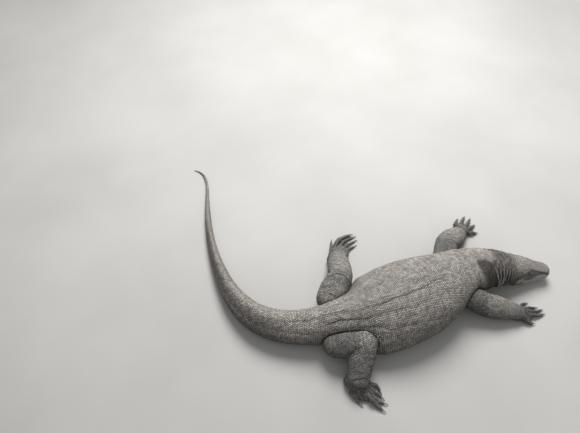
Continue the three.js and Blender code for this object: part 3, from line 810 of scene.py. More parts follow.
# %% Carve the legs
def leg_rise(name, place, points):
    """How far the skin of one leg rises, in mm."""
    side, kind, _, upper, lower, foot = LEGS[name]
    _, bend, ankle = joints(name)
    k = {part: FORM_NAMES.index(f"{name}_{part}") for part in ("upper", "lower", "sole")}
    wander, patchy = clouds(points, 0.06, 5), clouds(points, 0.05, 8)
    uneven = np.clip(0.7 + 0.8 * patchy, 0.1, 1.4) * (1.4 if side > 0 else 1.0)
    rise = 0.7 * wander + 0.35 * clouds(points, 0.022, 6) - folds(points)
    # distances in mm from the joints along the bones
    past_bend = place.along[:, k["lower"]] * kind["lower"][0]
    before_bend = (1 - place.along[:, k["upper"]]) * kind["upper"][0]
    inner = towards(*lower) - towards(*upper)
    inner /= np.linalg.norm(inner)
    inward = (points - bend) @ inner / MM
    inside = step(inward, -14, 40)
    on_lower, on_upper = place.owner == k["lower"], place.owner == k["upper"]
    for distance, depth, width in ((20, 2.6, 5), (41, 1.7, 4), (66, 0.9, 4)):
        for on_bone, from_bend in ((on_lower, past_bend), (on_upper, before_bend)):
            ring = bell(from_bend + 8 * wander + 0.2 * inward, distance, width)
            rise -= on_bone * inside * depth * uneven * ring
    to_ankle = kind["lower"][0] - past_bend
    way = towards(foot)
    front = step((points - ankle) @ np.array([way[0], way[1], 0.7]) / MM, -25, 20)
    slant = 0.3 * side * ((points - ankle) @ np.cross([0, 0, 1], way)) / MM
    for distance, depth, width in ((7, 3.0, 5), (31, 1.8, 4.5), (50, 0.8, 4)):
        rise -= on_lower * front * depth * uneven * bell(to_ankle + 5 * wander + slant, distance, width)
    muscle = np.sin(np.clip(place.along[:, k["upper"]], 0, 1) * np.pi)
    rise += on_upper * 1.0 * muscle * clouds(points, 0.11, 9)
    on_sole = place.owner == k["sole"]
    over = place.along[:, k["sole"]] * kind["sole"][0]
    rise -= 4.4 * limb_crease(place) + 2.2 * joint_crease(place)
    rise -= 2.8 * (on_sole | place.on(*toes_of(name))) * toe_gaps(points)
    rise -= on_sole * 2.4 * uneven * bell(over + 3 * wander, 2, 5)
    rise -= on_sole * 1.3 * uneven * bell(over + 4 * wander, 19, 4)
    upright = step(points[:, 2] / MM, 8, 16)
    for number in range(1, 6):
        path, _ = TOES[name, number]
        heel = ankle + towards(foot) * kind["sole"][0] * 0.15 * MM
        line = path[2, :2] - heel[:2]
        length = np.linalg.norm(line)
        away = points[:, :2] - heel[:2]
        beyond = away @ line / length**2
        aside = (away[:, 0] * line[1] - away[:, 1] * line[0]) / length / MM
        rise += on_sole * upright * 1.6 * bell(aside, 0, 4) * between(beyond, 0.25, 1, 0.15)
        t = FORM_NAMES.index(f"{name}_toe_{number}")
        on_toe = place.owner == t
        reach = kind["toes"][number - 1][3]
        for joint in np.arange(0.3, 1.0, 19 / reach):
            rise -= on_toe * 1.2 * bell(place.along[:, t], joint, 2.6 / reach)
    return rise


for name in LEGS:
    parts = [n for n in FORM_NAMES if n.startswith(name)]
    mine = place.on(*parts)
    chosen = np.flatnonzero(mine)
    part_place = Places(points[chosen])
    rise[chosen] = leg_rise(name, part_place, points[chosen])
rise = spread(edges, rise[:, None], len(points))[:, 0] * 0.4 + rise * 0.6
normals = normals_of(skin.data, points)
points = points + normals * (rise * MM)[:, None]
points[:, 2] = np.maximum(points[:, 2], FLAT_FROM)
print("legs carved by %.1f to %.1f mm" % (rise[~is_body].min(), rise[~is_body].max()))

# %% [markdown]
# The head of a monitor: a long flat muzzle, a raised brow over a deep-set eye, a hollow along the side
# of the muzzle, a slit of a mouth that runs back past the eye, a nostril near the tip, and swollen jaw
# muscles with an oval ear opening behind them. Heights and widths of these come from the eye's place.

# %% Carve the head
normals_of(skin.data, points)
MOUTH = ((905, 60), (922, 51), (945, 46.5), (985, 43), (1030, 44.5), (1062, 46.5), (1085, 48))
BROW = ((925, 99), (945, 104), (972, 101), (1000, 89), (1045, 73), (1062, 66))
EYE_HIGH = float(np.mean([c[2] for c in EYE_CENTRES.values()])) / MM
LID_LONG, LID_TALL = 7.0, 3.8  # half length and half height of the opening between the lids, in mm


def lid_share(place):
    """1 at the edge of the lids, less inside the opening, more outside it."""
    forward, up = place.s - EYE_S, place.height - EYE_HIGH
    turned = up + 0.16 * forward  # the eye slopes down towards the muzzle
    return np.hypot(forward / LID_LONG, turned / LID_TALL)


def nostril_share(place):
    """1 at the rim of the nostril, less inside it."""
    ahead = place.s - 1047
    return np.hypot(ahead / 4.6, (place.height - 64 + 0.25 * ahead) / 3.0)


def ear_share(place):
    """1 at the rim of the ear opening, less inside it."""
    return np.hypot((place.s - 895) / 4.6, (place.height - 88) / 8.5)


def side_at(s, height):
    """How far out the side of the head lies at a height above the level of its widest place."""
    share = (height - at(s, "level")) / (at(s, "top") - at(s, "level"))
    return at(s, "wide") * (1 - np.clip(share, 0, 1) ** at(s, "crown")) ** (1 / at(s, "crown"))


def head_rise(place, points):
    """How far the skin of the head rises, in mm."""
    s, out, height = place.s, place.out, place.height
    far_out = np.abs(out) / at(s, "wide")
    on_side = step(far_out, 0.45, 0.65)
    ripple = clouds(points, 0.014, 11)
    rise = np.full(len(s), -0.6) + 0.3 * ripple

    brow = height - follow(s, BROW)
    off_top = step(far_out, 0.25, 0.45)
    rise += off_top * 1.9 * bell(brow, 0, 3.4) * between(s, 925, 1052, 14)
    rise -= off_top * 1.9 * bell(brow, -6.5, 2.6) * between(s, 978, 1056, 10)
    rise -= on_side * 1.0 * bell(brow, -17, 6) * between(s, 985, 1038, 12)
    rise -= 1.8 * bell(out, 0, 17) * between(s, 930, 1010, 18) * step(height, 70, 90)
    rise += 0.8 * bell(out, 0, 8) * between(s, 1000, 1062, 10) * step(height, 60, 76)

    lids = lid_share(place)
    above = place.height - EYE_HIGH + 0.16 * (s - EYE_S)
    rise -= on_side * 4.4 * (1 - step(lids, 0.74, 1.06))
    rise += on_side * (1.1 + 0.7 * step(above, -2, 6)) * bell(lids, 1.27, 0.19)
    rise -= on_side * 1.0 * bell(lids, 1.68, 0.17)
    rise += on_side * 0.6 * bell(lids, 2.02, 0.17)
    rise -= on_side * 1.4 * bell(lids, 2.45, 0.3) * step(-above, -6, 4)

    lip = height - follow(s, MOUTH)
    lips = between(s, 912, 1100, 8) * step(far_out, 0.35, 0.6)
    rise -= lips * 2.6 * bell(lip, 0, 1.5)
    rise += lips * 0.9 * (bell(lip, 5, 3) + 0.8 * bell(lip, -5, 3))
    rise -= lips * 0.8 * bell(lip, 11, 2.5)

    pit, ear = nostril_share(place), ear_share(place)
    rise -= off_top * 4.0 * (1 - step(pit, 0.5, 1.1))
    rise += off_top * 0.9 * bell(pit, 1.6, 0.4)
    rise -= off_top * 4.0 * (1 - step(ear, 0.6, 1.1))
    rise += off_top * 0.9 * bell(ear, 1.45, 0.35)

    jaw = np.hypot((s - 916) / 26, (height - 68) / 17)
    rise += on_side * 1.3 * (1 - step(jaw, 0.2, 1.1))
    rise -= on_side * 1.3 * bell(jaw, 1.3, 0.2)
    rise -= step(far_out, 0.3, 0.6) * 2.4 * bell(s - 0.12 * (height - 60), 876, 6)
    rise += 0.9 * bell(np.abs(out), 27, 13) * bell(s, 915, 20) * step(height, 80, 100)
    rise -= 1.3 * bell(s, 880, 9) * step(height, 90, 110)
    return rise


def on_face(middles):
    """True for faces near the eyes, the mouth, the nostrils and the ears."""
    s, out, height, _ = body_place(middles)
    near = np.hypot(s - EYE_S, height - EYE_HIGH) < 19
    near |= (np.abs(height - follow(s, MOUTH)) < 6) & (s > 912)
    near |= np.hypot(s - 1047, height - 65) < 10
    near |= np.hypot(s - 893, height - 84) < 13
    return near & (s > HEAD_FROM) & (np.abs(out) > 0.5 * at(s, "wide")) & (np.abs(out) < at(s, "wide") + 8)


refine(skin, on_face)
points = vectors(skin.data.vertices, "co", 3)
s, out, _, _ = body_place(points)
chosen = np.flatnonzero((s > HEAD_FROM - 12) & (np.abs(out) < at(s, "wide") + 8))
now = Places(points[chosen])
normals = normals_of(skin.data, points)
sculpt = head_rise(now, points[chosen]) * step(now.s, HEAD_FROM - 10, HEAD_FROM + 8)
points[chosen] += normals[chosen] * (sculpt * MM)[:, None]
print("head carved by %.1f to %.1f mm over %d points" % (sculpt.min(), sculpt.max(), len(chosen)))

# %% [markdown]
# Under the coat the trunk needs only coarse faces, so they are merged there. The face and feet keep
# theirs, as lids, lips and toes need them. Merging can leave two faces back to back on the same three
# points. They enclose nothing and would spoil the mesh, so they are looked for and dropped.

# %% Thin out the skin
SKIN_FACES = 185_000


def drop_doubled(made):
    """Deletes faces that lie back to back on the same points, and says how many there were."""
    mesh = bmesh.new()
    mesh.from_mesh(made.data)
    by_corners = {}
    for face in mesh.faces:
        by_corners.setdefault(frozenset(face.verts), []).append(face)
    doubled = [face for same in by_corners.values() if len(same) > 1 for face in same]
    bmesh.ops.delete(mesh, geom=doubled, context="FACES")
    mesh.to_mesh(made.data)
    mesh.free()
    return len(doubled)


def thin_out(made, wanted, sparing):
    """Merges faces down to a wanted number of triangles, fewest where sparing is 1."""
    group = made.vertex_groups.new(name="sparing")
    for level in range(0, 11):
        chosen = np.flatnonzero(np.round(sparing * 10) == level)
        if len(chosen):
            group.add(chosen.tolist(), max(1 - level / 10, 0.02), "REPLACE")
    triangles = sum(len(f.vertices) - 2 for f in made.data.polygons)
    fewer = made.modifiers.new("fewer", "DECIMATE")
    fewer.ratio, fewer.vertex_group, fewer.vertex_group_factor = wanted / triangles, "sparing", 1.0
    fewer.use_collapse_triangulate = True
    baked(made)
    made.vertex_groups.clear()


place = Places(points)
sparing = np.where(place.on(*[n for n in FORM_NAMES if "toe" in n]), 0.6, 0.0)
sparing = np.maximum(sparing, place.on("body") * step(place.s, HEAD_FROM, 885))
sparing = np.maximum(sparing, 0.5 * place.on(*[n for n in FORM_NAMES if "sole" in n]))
sparing = np.maximum(sparing, 0.8 * place.on("body") * between(place.s, 740, 885, 10))
normals_of(skin.data, points)
thin_out(skin, SKIN_FACES, sparing)
print("doubled faces dropped:", drop_doubled(skin))
points = vectors(skin.data.vertices, "co", 3)
normals = normals_of(skin.data, points)
edges = edge_table(skin.data)
corners = np.array([f.vertices[:] for f in skin.data.polygons])
print("skin:", len(corners), "triangles,", len(points), "points")

# %% [markdown]
# The coat: small domed scales, set close like beads. They ring the body and limbs in rows, each row
# shifted by half a scale, so they make a honeycomb with slanting lines. To keep them even where the
# body widens or tapers, each row takes the middles of the gaps of the last, splits a wide gap and
# closes a tight one. On the head they lie in no order, and they are smallest there and on the toes.

# %% Rows of scales
ROW_STEP = 0.866  # rows lie this far apart, in widths of a scale
chance = np.random.default_rng(7)


def round_ring(ring, shares):
    """Points at shares of the way round a closed ring, and the way round it."""
    closed = np.concatenate([ring, ring[:1]])
    length = np.concatenate([[0], np.cumsum(np.linalg.norm(np.diff(closed, axis=0), axis=1))])
    where = np.asarray(shares) % 1 * length[-1]
    return np.stack([np.interp(where, length, closed[:, k]) for k in range(3)], 1), length[-1]


def settle_count(shares, wanted):
    """Splits the widest gaps or closes the tightest until the row nears a wanted number of scales."""
    gap = np.diff(np.append(shares, shares[0] + 1))
    change = wanted - len(shares)
    luck = gap * chance.uniform(0.9, 1.1, len(gap))
    if change > 0:
        split = np.argsort(-luck)[: min(change, 4)]
        shares = np.concatenate([shares, shares[split] + gap[split] / 2])
    elif change < 0:
        close = [i for i in np.argsort(luck)[: min(-change, 4)] if i + 1 < len(shares)]
        shares = shares.copy()
        for i in close:
            shares[i] += gap[i] / 2
        shares = np.delete(shares, [i + 1 for i in close])
    return np.sort(shares)


def rows(rings, widths):
    """Scales in shifted rows on rings in order down the coat: places, lie, length and width."""
    roots, lies, sizes = [], [], []
    shares = None
    for k, (ring, width) in enumerate(zip(rings, widths)):
        girth = round_ring(ring, [0])[1]
        wanted = max(int(round(girth / width)), 4)
        if shares is None:
            shares = (np.arange(wanted) + 0.5 * (k % 2)) / wanted
        else:
            shares = (shares + np.append(shares[1:], shares[0] + 1)) / 2
            if abs(wanted - len(shares)) > 1:
                shares = settle_count(shares, wanted)
            for _ in range(4):
                ahead, behind = np.append(shares[1:], shares[0] + 1), np.append(shares[-1] - 1, shares[:-1])
                shares = shares + 0.35 * ((ahead + behind) / 2 - shares)
        here = round_ring(ring, shares)[0]
        onward = k + 1 < len(rings)
        other = round_ring(rings[k + 1 if onward else k - 1], shares)[0]
        lie = (other - here) * (1 if onward else -1)
        ahead, behind = np.append(shares[1:], shares[0] + 1), np.append(shares[-1] - 1, shares[:-1])
        across = (ahead - behind) / 2 * girth
        roots.append(here)
        lies.append(lie)
        sizes.append(np.stack([np.linalg.norm(lie, axis=1) / ROW_STEP, across, np.full(len(here), width)], 1))
    return np.concatenate(roots), np.concatenate(lies), np.concatenate(sizes)


BODY_WIDTHS = ((-1405, 2.6), (-1300, 3.4), (-1100, 4.6), (-850, 5.8), (-550, 7.2), (-300, 8), (600, 8),
               (760, 7), (850, 5.6), (900, 4.8))  # width of a scale along the spine, in mm


def body_rings():
    s, spots = 886.0, []
    while s > TAIL_TIP + 2:
        spots.append(s)
        s -= follow(s, BODY_WIDTHS) * ROW_STEP
    return [section(s, 120, SKIN_INSET / MM) for s in spots], [follow(s, BODY_WIDTHS) * MM for s in spots]


def bone_rings(start, bone, kind, first, last):
    """Rings down one limb bone with a dome at each end; scale widths go from first to last, in mm."""
    length, thick, flat = kind[0] * MM, np.array(kind[1]) * MM - SKIN_INSET, [1, *kind[2:]][-1]
    along = towards(*bone)
    end_wide = thick[[0, -1], 0]
    spots = [(0, -a) for a in np.arange(75, 2, -np.degrees(first * MM * ROW_STEP / end_wide[0]))]
    t = 0.0
    while t < 1:
        spots.append((t, 0))
        t += (first + (last - first) * t) * MM * ROW_STEP / length
    spots += [(1, a) for a in np.arange(6, 80, np.degrees(last * MM * ROW_STEP / end_wide[1]))]
    rings, widths = [], []
    for t, turn in spots:
        across, upright = (np.interp(t, np.linspace(0, 1, len(thick)), thick[:, k]) for k in (0, 1))
        past, shrink = np.sin(np.radians(turn)) * (flat if t == 1 else 1), np.cos(np.radians(turn))
        rings.append(path_ring(start + along * (length * t + past * across), along, across * shrink,
                               upright * shrink, 60))
        widths.append((first + (last - first) * t) * MM)
    return rings, widths


def sole_rings(name, width):
    _, kind, _, _, _, foot = LEGS[name]
    ankle, way = joints(name)[2], towards(foot)
    length, wide, high = (v * MM for v in kind["sole"])
    table = np.array(SOLE)
    rings = []
    for spot in np.arange(table[0, 0], table[-1, 0], width * MM * ROW_STEP / length):
        w, h = (np.interp(spot, table[:, 0], table[:, k]) for k in (1, 2))
        centre = ankle + way * length * spot
        centre[2] = high * h * 0.42
        rings.append(path_ring(centre, way, wide * w - SKIN_INSET, high * h * 0.58 - SKIN_INSET, 60))
    return rings, [width * MM] * len(rings)


def toe_rings(path, radii, width):
    length = np.concatenate([[0], np.cumsum(np.linalg.norm(np.diff(path, axis=0), axis=1))])
    spots = np.arange(0, length[-1], width * MM * ROW_STEP)
    centres = np.stack([np.interp(spots, length, path[:, k]) for k in range(3)], 1)
    along = np.gradient(centres, axis=0)
    along /= np.linalg.norm(along, axis=1)[:, None]
    thick = np.interp(spots, length, radii)
    return [path_ring(c, d, r, r, 40) for c, d, r in zip(centres, along, thick)], [width * MM] * len(spots)


UPPER_SCALE, ANKLE_SCALE, FOOT_SCALE, TOE_SCALE = 7.8, 5.4, 4.8, 3.5
sources = {"body": rows(*body_rings())}
for name, (side, kind, _, upper, lower, _) in LEGS.items():
    root, bend, _ = joints(name)
    sources[f"{name}_upper"] = rows(*bone_rings(root, upper, kind["upper"], UPPER_SCALE, UPPER_SCALE))
    sources[f"{name}_lower"] = rows(*bone_rings(bend, lower, kind["lower"], UPPER_SCALE, ANKLE_SCALE))
    sources[f"{name}_sole"] = rows(*sole_rings(name, FOOT_SCALE))
    for number in range(1, 6):
        sources[f"{name}_toe_{number}"] = rows(*toe_rings(*TOES[name, number], TOE_SCALE))
print("scales in rows:", sum(len(r) for r, _, _ in sources.values()))

# %% [markdown]
# The rows were laid on the bare forms, so each scale is set down on the nearest point of the skin. It
# stays only if that spot belongs to its own form, as the trunk's rows also run on under the thighs.
# Scales that crowd at a border go, small ones fill what is left bare, and a few rounds of pushing
# apart even them out.

# %% Set the scales on the skin
skin_tree = BVHTree.FromPolygons(points.tolist(), corners.tolist())


def set_down(spots):
    """The nearest places on the skin, the face there and how far off it was."""
    found = [skin_tree.find_nearest(p) for p in spots.tolist()]
    return np.array([f[0] for f in found]), np.array([f[2] for f in found]), np.array([f[3] for f in found])


def skin_normal(spots, faces):
    """The smooth normal of the skin at places on its faces."""
    weight = 1 / (np.linalg.norm(points[corners[faces]] - spots[:, None], axis=2) + 1e-5)
    mixed = (normals[corners[faces]] * weight[..., None]).sum(1)
    return mixed / np.linalg.norm(mixed, axis=1)[:, None]


def nearest(spots, count):
    """Indices and distances of the nearest other places to each place."""
    tree = KDTree(len(spots))
    for i, spot in enumerate(spots.tolist()):
        tree.insert(spot, i)
    tree.balance()
    found = [tree.find_n(spot, count + 1)[1:] for spot in spots.tolist()]
    return tuple(np.array([[f[k] for f in row] for row in found]) for k in (1, 2))


roots, lies, sizes, owners = [], [], [], []
for form, (spots, lie, size) in sources.items():
    on_skin, faces, off = set_down(spots)
    keep = off < 0.02
    roots.append(on_skin[keep])
    lies.append(lie[keep])
    sizes.append(size[keep])
    owners.append(np.full(keep.sum(), FORM_NAMES.index(form)))
roots, lies, sizes, owners = (np.concatenate(a) for a in (roots, lies, sizes, owners))
there = Places(roots)
in_place = (there.owner == owners) & ~((there.owner == 0) & (there.s > 880))
roots, lies, sizes, owners = (a[in_place] for a in (roots, lies, sizes, owners))
print("scales on their own form:", len(roots))

# %% Fill the head and the gaps
def width_at(place):
    """The width of a scale at any place on the skin, in mm."""
    width = follow(place.s, BODY_WIDTHS)
    on_head = np.interp(place.s, (880, 930, 1000, 1050, 1079), (4.8, 4.3, 3.7, 3.0, 2.5))
    lids = lid_share(place)
    on_head = np.minimum(on_head, np.interp(lids, (0.9, 1.3, 2.0, 3.0), (1.5, 1.7, 2.6, 4.5)))
    lip = np.abs(place.height - follow(place.s, MOUTH))
    on_head = np.minimum(on_head, np.interp(lip, (2, 6, 14), (2.6, 3.2, 4.5)))
    width = np.where(place.s > 880, on_head, width)
    for name in LEGS:
        low = FORM_NAMES.index(f"{name}_lower")
        width = np.where(place.on(f"{name}_upper"), UPPER_SCALE, width)
        width = np.where(place.on(f"{name}_lower"),
                         UPPER_SCALE + (ANKLE_SCALE - UPPER_SCALE) * place.along[:, low], width)
        width = np.where(place.on(f"{name}_sole"), FOOT_SCALE, width)
        width = np.where(place.on(*[f"{name}_toe_{k}" for k in range(1, 6)]), TOE_SCALE, width)
    return width * MM


def scatter(faces, count):
    """Random places spread evenly by area over some faces."""
    a, b, c = (points[corners[faces, k]] for k in range(3))
    area = np.linalg.norm(np.cross(b - a, c - a), axis=1)
    pick = chance.choice(len(faces), count, p=area / area.sum())
    u, v = chance.random((2, count))
    flip = u + v > 1
    u, v = np.where(flip, 1 - u, u), np.where(flip, 1 - v, v)
    return a[pick] + u[:, None] * (b - a)[pick] + v[:, None] * (c - a)[pick]


def thin(spots, apart):
    """Indices of spots, first come first kept, that lie at least so far apart."""
    cell = float(apart.max())
    grid, kept = {}, []
    keys = np.floor(spots / cell).astype(int)
    around = [(i, j, k) for i in (-1, 0, 1) for j in (-1, 0, 1) for k in (-1, 0, 1)]
    for i, (key, spot, reach) in enumerate(zip(keys.tolist(), spots.tolist(), apart.tolist())):
        clear = True
        for d in around:
            for x, y, z, r in grid.get((key[0] + d[0], key[1] + d[1], key[2] + d[2]), ()):
                least = (reach + r) / 2
                if (x - spot[0]) ** 2 + (y - spot[1]) ** 2 + (z - spot[2]) ** 2 < least * least:
                    clear = False
                    break
            if not clear:
                break
        if clear:
            grid.setdefault(tuple(key), []).append((*spot, reach))
            kept.append(i)
    return np.array(kept, int)


def push_apart(spots, widths, loose, times, want=0.9):
    """Moves crowded places apart over the skin, each as far as it is loose."""
    for _ in range(times):
        near, distance = nearest(spots, 6)
        rest = want * (widths[:, None] + widths[near]) / 2
        away = (spots[:, None] - spots[near]) / np.maximum(distance, 1e-5)[..., None]
        move = (away * np.maximum(rest - distance, 0)[..., None]).sum(1) * 0.35
        spots = set_down(spots + move * loose[:, None])[0]
    return spots


def face_rows():
    """Rings of tiny scales round the eyes and rows of plates along the lips, as places and widths."""
    spots, wide = [], []
    for side in (-1, 1):
        for ring, width in ((1.16, 1.5), (1.42, 1.7), (1.74, 2.1), (2.12, 2.6)):
            around = np.pi * (3 * (LID_LONG + LID_TALL)) * ring / 3
            turn = 2 * np.pi * (np.arange(int(around / width)) + 0.5 * ring) / int(around / width)
            s = EYE_S + ring * LID_LONG * np.cos(turn)
            height = EYE_HIGH + ring * LID_TALL * np.sin(turn) - 0.16 * (s - EYE_S)
            spots.append(beside(s, side * side_at(s, height), height))
            wide.append(np.full(len(s), width))
        for above, width in ((3.4, 4.0), (-3.6, 3.8)):
            s = np.arange(924, 1076, width * 0.98)
            spots.append(beside(s, side * at(s, "wide"), follow(s, MOUTH) + above))
            wide.append(np.full(len(s), width))
    return np.concatenate(spots), np.concatenate(wide) * MM


middles = points[corners].mean(1)
face_s, face_out, _, _ = body_place(middles)
head_faces = np.flatnonzero((face_s > 876) & (np.abs(face_out) < at(face_s, "wide") + 8))
thrown = scatter(head_faces, 70_000)
thrown_place = Places(thrown)
thrown_width = width_at(thrown_place)
opening = np.minimum.reduce([lid_share(thrown_place), nostril_share(thrown_place), ear_share(thrown_place)])
opening = (opening < 1.0) & (np.abs(thrown_place.out) > 0.4 * at(thrown_place.s, "wide"))
fine = (thrown_place.s > 881) & ~opening
laid, laid_width = face_rows()
laid = set_down(laid)[0]
thrown = np.concatenate([laid, thrown[fine]])
thrown_width = np.concatenate([laid_width, thrown_width[fine]])
kept = thin(thrown, thrown_width * 0.8)
head_spots, head_widths = thrown[kept], thrown_width[kept]
head_spots = push_apart(head_spots, head_widths, np.where(kept < len(laid), 0.06, 1.0), 8, want=0.98)
print("scales on the head:", len(head_spots))

row_count = len(roots)
bare = scatter(np.arange(len(corners)), 160_000)
seeds = np.concatenate([roots, head_spots])
tree = KDTree(len(seeds))
for i, spot in enumerate(seeds.tolist()):
    tree.insert(spot, i)
tree.balance()
gap = np.array([tree.find(p)[2] for p in bare.tolist()])
bare, gap = bare[gap > 0.0022], gap[gap > 0.0022]
bare_place = Places(bare)
bare_width = width_at(bare_place)
open_spot = (gap > 0.74 * bare_width) & ((bare_place.s < 884) | (bare_place.owner > 0))
bare, bare_width = bare[open_spot], bare_width[open_spot] * 0.8
order = chance.permutation(len(bare))
kept = order[thin(bare[order], bare_width[order] * 0.8)]
filler, filler_width = bare[kept], bare_width[kept]
print("scales that fill gaps:", len(filler))

# %% Even out the coat
roots = np.concatenate([roots, head_spots, filler])
widths = np.concatenate([sizes[:, 2], head_widths, filler_width])
kept = np.sort(thin(roots, widths * 0.56))
in_rows = kept < row_count
roots, widths = roots[kept], widths[kept]
sizes = sizes[kept[in_rows]]
row_lies = lies[kept[in_rows]]
roots = push_apart(roots, widths, np.where(in_rows, 0.8, 1.0), 4, want=0.84)
roots, faces, _ = set_down(roots)
ups = skin_normal(roots, faces)
root_place = Places(roots)


def coat_lie(place, spots):
    """Which way the coat lies at places on the skin: back along the body and down the limbs."""
    bearing = np.interp(place.s, SPINE_S, SPINE_BEARING)
    lie = -np.stack([np.cos(bearing), np.sin(bearing), np.zeros(len(spots))], 1)
    for name, (_, _, _, upper, lower, foot) in LEGS.items():
        lie[place.on(f"{name}_upper")] = towards(*upper)
        lie[place.on(f"{name}_lower")] = towards(*lower)
        lie[place.on(f"{name}_sole")] = towards(foot)
        for number in range(1, 6):
            path = TOES[name, number][0]
            lie[place.on(f"{name}_toe_{number}")] = path[-1] - path[3]
    return lie


lies = coat_lie(root_place, roots)
lies[in_rows] = row_lies
lies = lies - (lies * ups).sum(1)[:, None] * ups
lies = lies / np.maximum(np.linalg.norm(lies, axis=1), 1e-6)[:, None]
near, distance = nearest(roots, 5)
room = distance.mean(1)
long_, wide_ = room * 0.98, room * 0.98
tight = np.clip(distance[:, 0][in_rows] / (0.84 * np.minimum(sizes[:, 0], sizes[:, 1])), 0.62, 1)
long_[in_rows] = np.clip(sizes[:, 0], 0.6 * sizes[:, 2], 1.3 * sizes[:, 2]) * tight
wide_[in_rows] = np.clip(sizes[:, 1], 0.6 * sizes[:, 2], 1.3 * sizes[:, 2]) * tight
long_, wide_ = (np.minimum(v, 1.25 * np.maximum(room, 0.8 * widths)) for v in (long_, wide_))
print("scales in the coat:", len(roots))

# %% [markdown]
# One scale is a small closed dome on a six-sided foot. Its point faces back, it is highest a little
# behind its middle, and its foot is sunk in the skin. Every scale is the same shape stretched to the
# room it has. They are joined in pieces by region, each with a map that gives every scale a tiny patch
# of its own where its root lies on the unrolled body.

# %% Shape of one scale
FOOT_RING = np.array([(0.577, 0), (0.289, 0.5), (-0.289, 0.5), (-0.577, 0), (-0.289, -0.5), (0.289, -0.5)])
LEVELS = ((0.95, -0.3), (0.76, 0.66))  # share of the foot's width, share of the height
DOME = np.array([(x * w, y * w, h) for w, h in LEVELS for x, y in FOOT_RING] + [(0.06, 0, 1.0)])
DOME_FACES = [(0, 5, 4, 3, 2, 1)]
DOME_FACES += [(i, (i + 1) % 6, 6 + (i + 1) % 6, 6 + i) for i in range(6)]
DOME_FACES += [(6 + i, 6 + (i + 1) % 6, 12) for i in range(6)]
DOME_TRIANGLES = sum(len(f) - 2 for f in DOME_FACES)
SCALE_HEIGHT = 0.19  # share of its width
PATCH = 0.0026  # how wide one scale's patch is on the map
print("a scale has", DOME_TRIANGLES, "triangles")


def scale_piece(name, chosen, chart, marks):
    """Joins the chosen scales in one object, with its map and its marks."""
    count, each = len(chosen), len(DOME)
    across = np.cross(ups[chosen], lies[chosen])
    height = SCALE_HEIGHT * np.minimum(long_, wide_)[chosen] * chance.uniform(0.85, 1.1, count)
    height = np.minimum(height, 0.00135)
    x = DOME[None, :, 0] * long_[chosen, None]
    y = DOME[None, :, 1] * wide_[chosen, None]
    z = DOME[None, :, 2] * height[:, None]
    co = (roots[chosen, None] + x[..., None] * lies[chosen, None] + y[..., None] * across[:, None]
          + z[..., None] * ups[chosen, None]).reshape(-1, 3)
    loops = np.concatenate([np.array(f) for f in DOME_FACES])
    totals = np.array([len(f) for f in DOME_FACES])
    mesh = bpy.data.meshes.new(name)
    mesh.vertices.add(len(co))
    mesh.vertices.foreach_set("co", co.astype(np.float32).ravel())
    all_loops = (loops[None] + each * np.arange(count)[:, None]).ravel()
    mesh.loops.add(len(all_loops))
    mesh.loops.foreach_set("vertex_index", all_loops.astype(np.int32))
    starts = np.concatenate([[0], np.cumsum(totals)[:-1]])
    all_starts = (starts[None] + len(loops) * np.arange(count)[:, None]).ravel()
    mesh.polygons.add(len(all_starts))
    mesh.polygons.foreach_set("loop_start", all_starts.astype(np.int32))
    mesh.update(calc_edges=True)
    mesh.polygons.foreach_set("use_smooth", np.ones(len(all_starts), bool))
    layer = mesh.uv_layers.new(name="OFBake")
    spot = chart[:, None] + DOME[None, :, :2] * PATCH
    layer.data.foreach_set("uv", spot[:, loops].astype(np.float32).ravel())
    crown = np.clip(DOME[:, 2], 0, 1)
    put_mark(mesh, "crown", np.tile(crown, count))
    put_mark(mesh, "own", np.repeat(chance.random(count), each))
    for mark, values in marks.items():
        put_mark(mesh, mark, np.repeat(values[chosen], each))
    made = bpy.data.objects.new(name, mesh)
    bpy.context.scene.collection.objects.link(made)
    return made


def put_mark(mesh, name, values):
    """Stores one number per point of a mesh, for its material to read."""
    mark = mesh.attributes.new(name, "FLOAT", "POINT")
    mark.data.foreach_set("value", np.asarray(values, np.float32))

# %% [markdown]
# Markings. An old dragon is one dull grey-brown with pale dust on all that faces up, cooler grey legs,
# a dark bare patch on the side of the neck, and pale lips and lids. Painted shade darkens what faces
# down and the trunk near the floor, the near side of the tail and parts of the legs, the furrows of the
# neck, the creases, the grooves between the toes, the brow, the eye, the mouth, the nostrils and the
# ears, and the pale marks are painted paler than their own colour, as painted light. Each marking is a
# number from 0 to 1 worked out from the place on the animal, for the skin and for every scale alike.

# %% Markings
# how far the dust has worn off each leg, with painted shade darkening the same places, most on the near side:
# thigh or upper arm, shin or forearm, foot
LEG_WORN_AND_SHADED = {"hind_right": (0.75, 0.8, 0.5), "hind_left": (0.3, 0.0, 0.1), "fore_right": (0.7, 0.25, 0.8),
            "fore_left": (0.75, 0.0, 0.15)}
# s and angle round the dark bare patch on the right side of the neck
NECK_PATCH = ((668, 18), (678, 3), (738, 8), (753, 30), (763, 65), (753, 92), (704, 64), (668, 26))


def inside_outline(x, y, outline):
    """How far inside a drawn outline places lie: positive inside, negative outside."""
    inside = np.zeros(len(x), bool)
    near = np.full(len(x), 1e9)
    for (ax, ay), (bx, by) in zip(outline, outline[1:] + outline[:1]):
        cross = (ay > y) != (by > y)
        meet = (bx - ax) * (y - ay) / np.where(by == ay, 1e-9, by - ay) + ax
        inside ^= cross & (x < meet)
        t = np.clip(((x - ax) * (bx - ax) + (y - ay) * (by - ay)) / ((bx - ax) ** 2 + (by - ay) ** 2), 0, 1)
        near = np.minimum(near, np.hypot(x - ax - t * (bx - ax), y - ay - t * (by - ay)))
    return np.where(inside, near, -near)


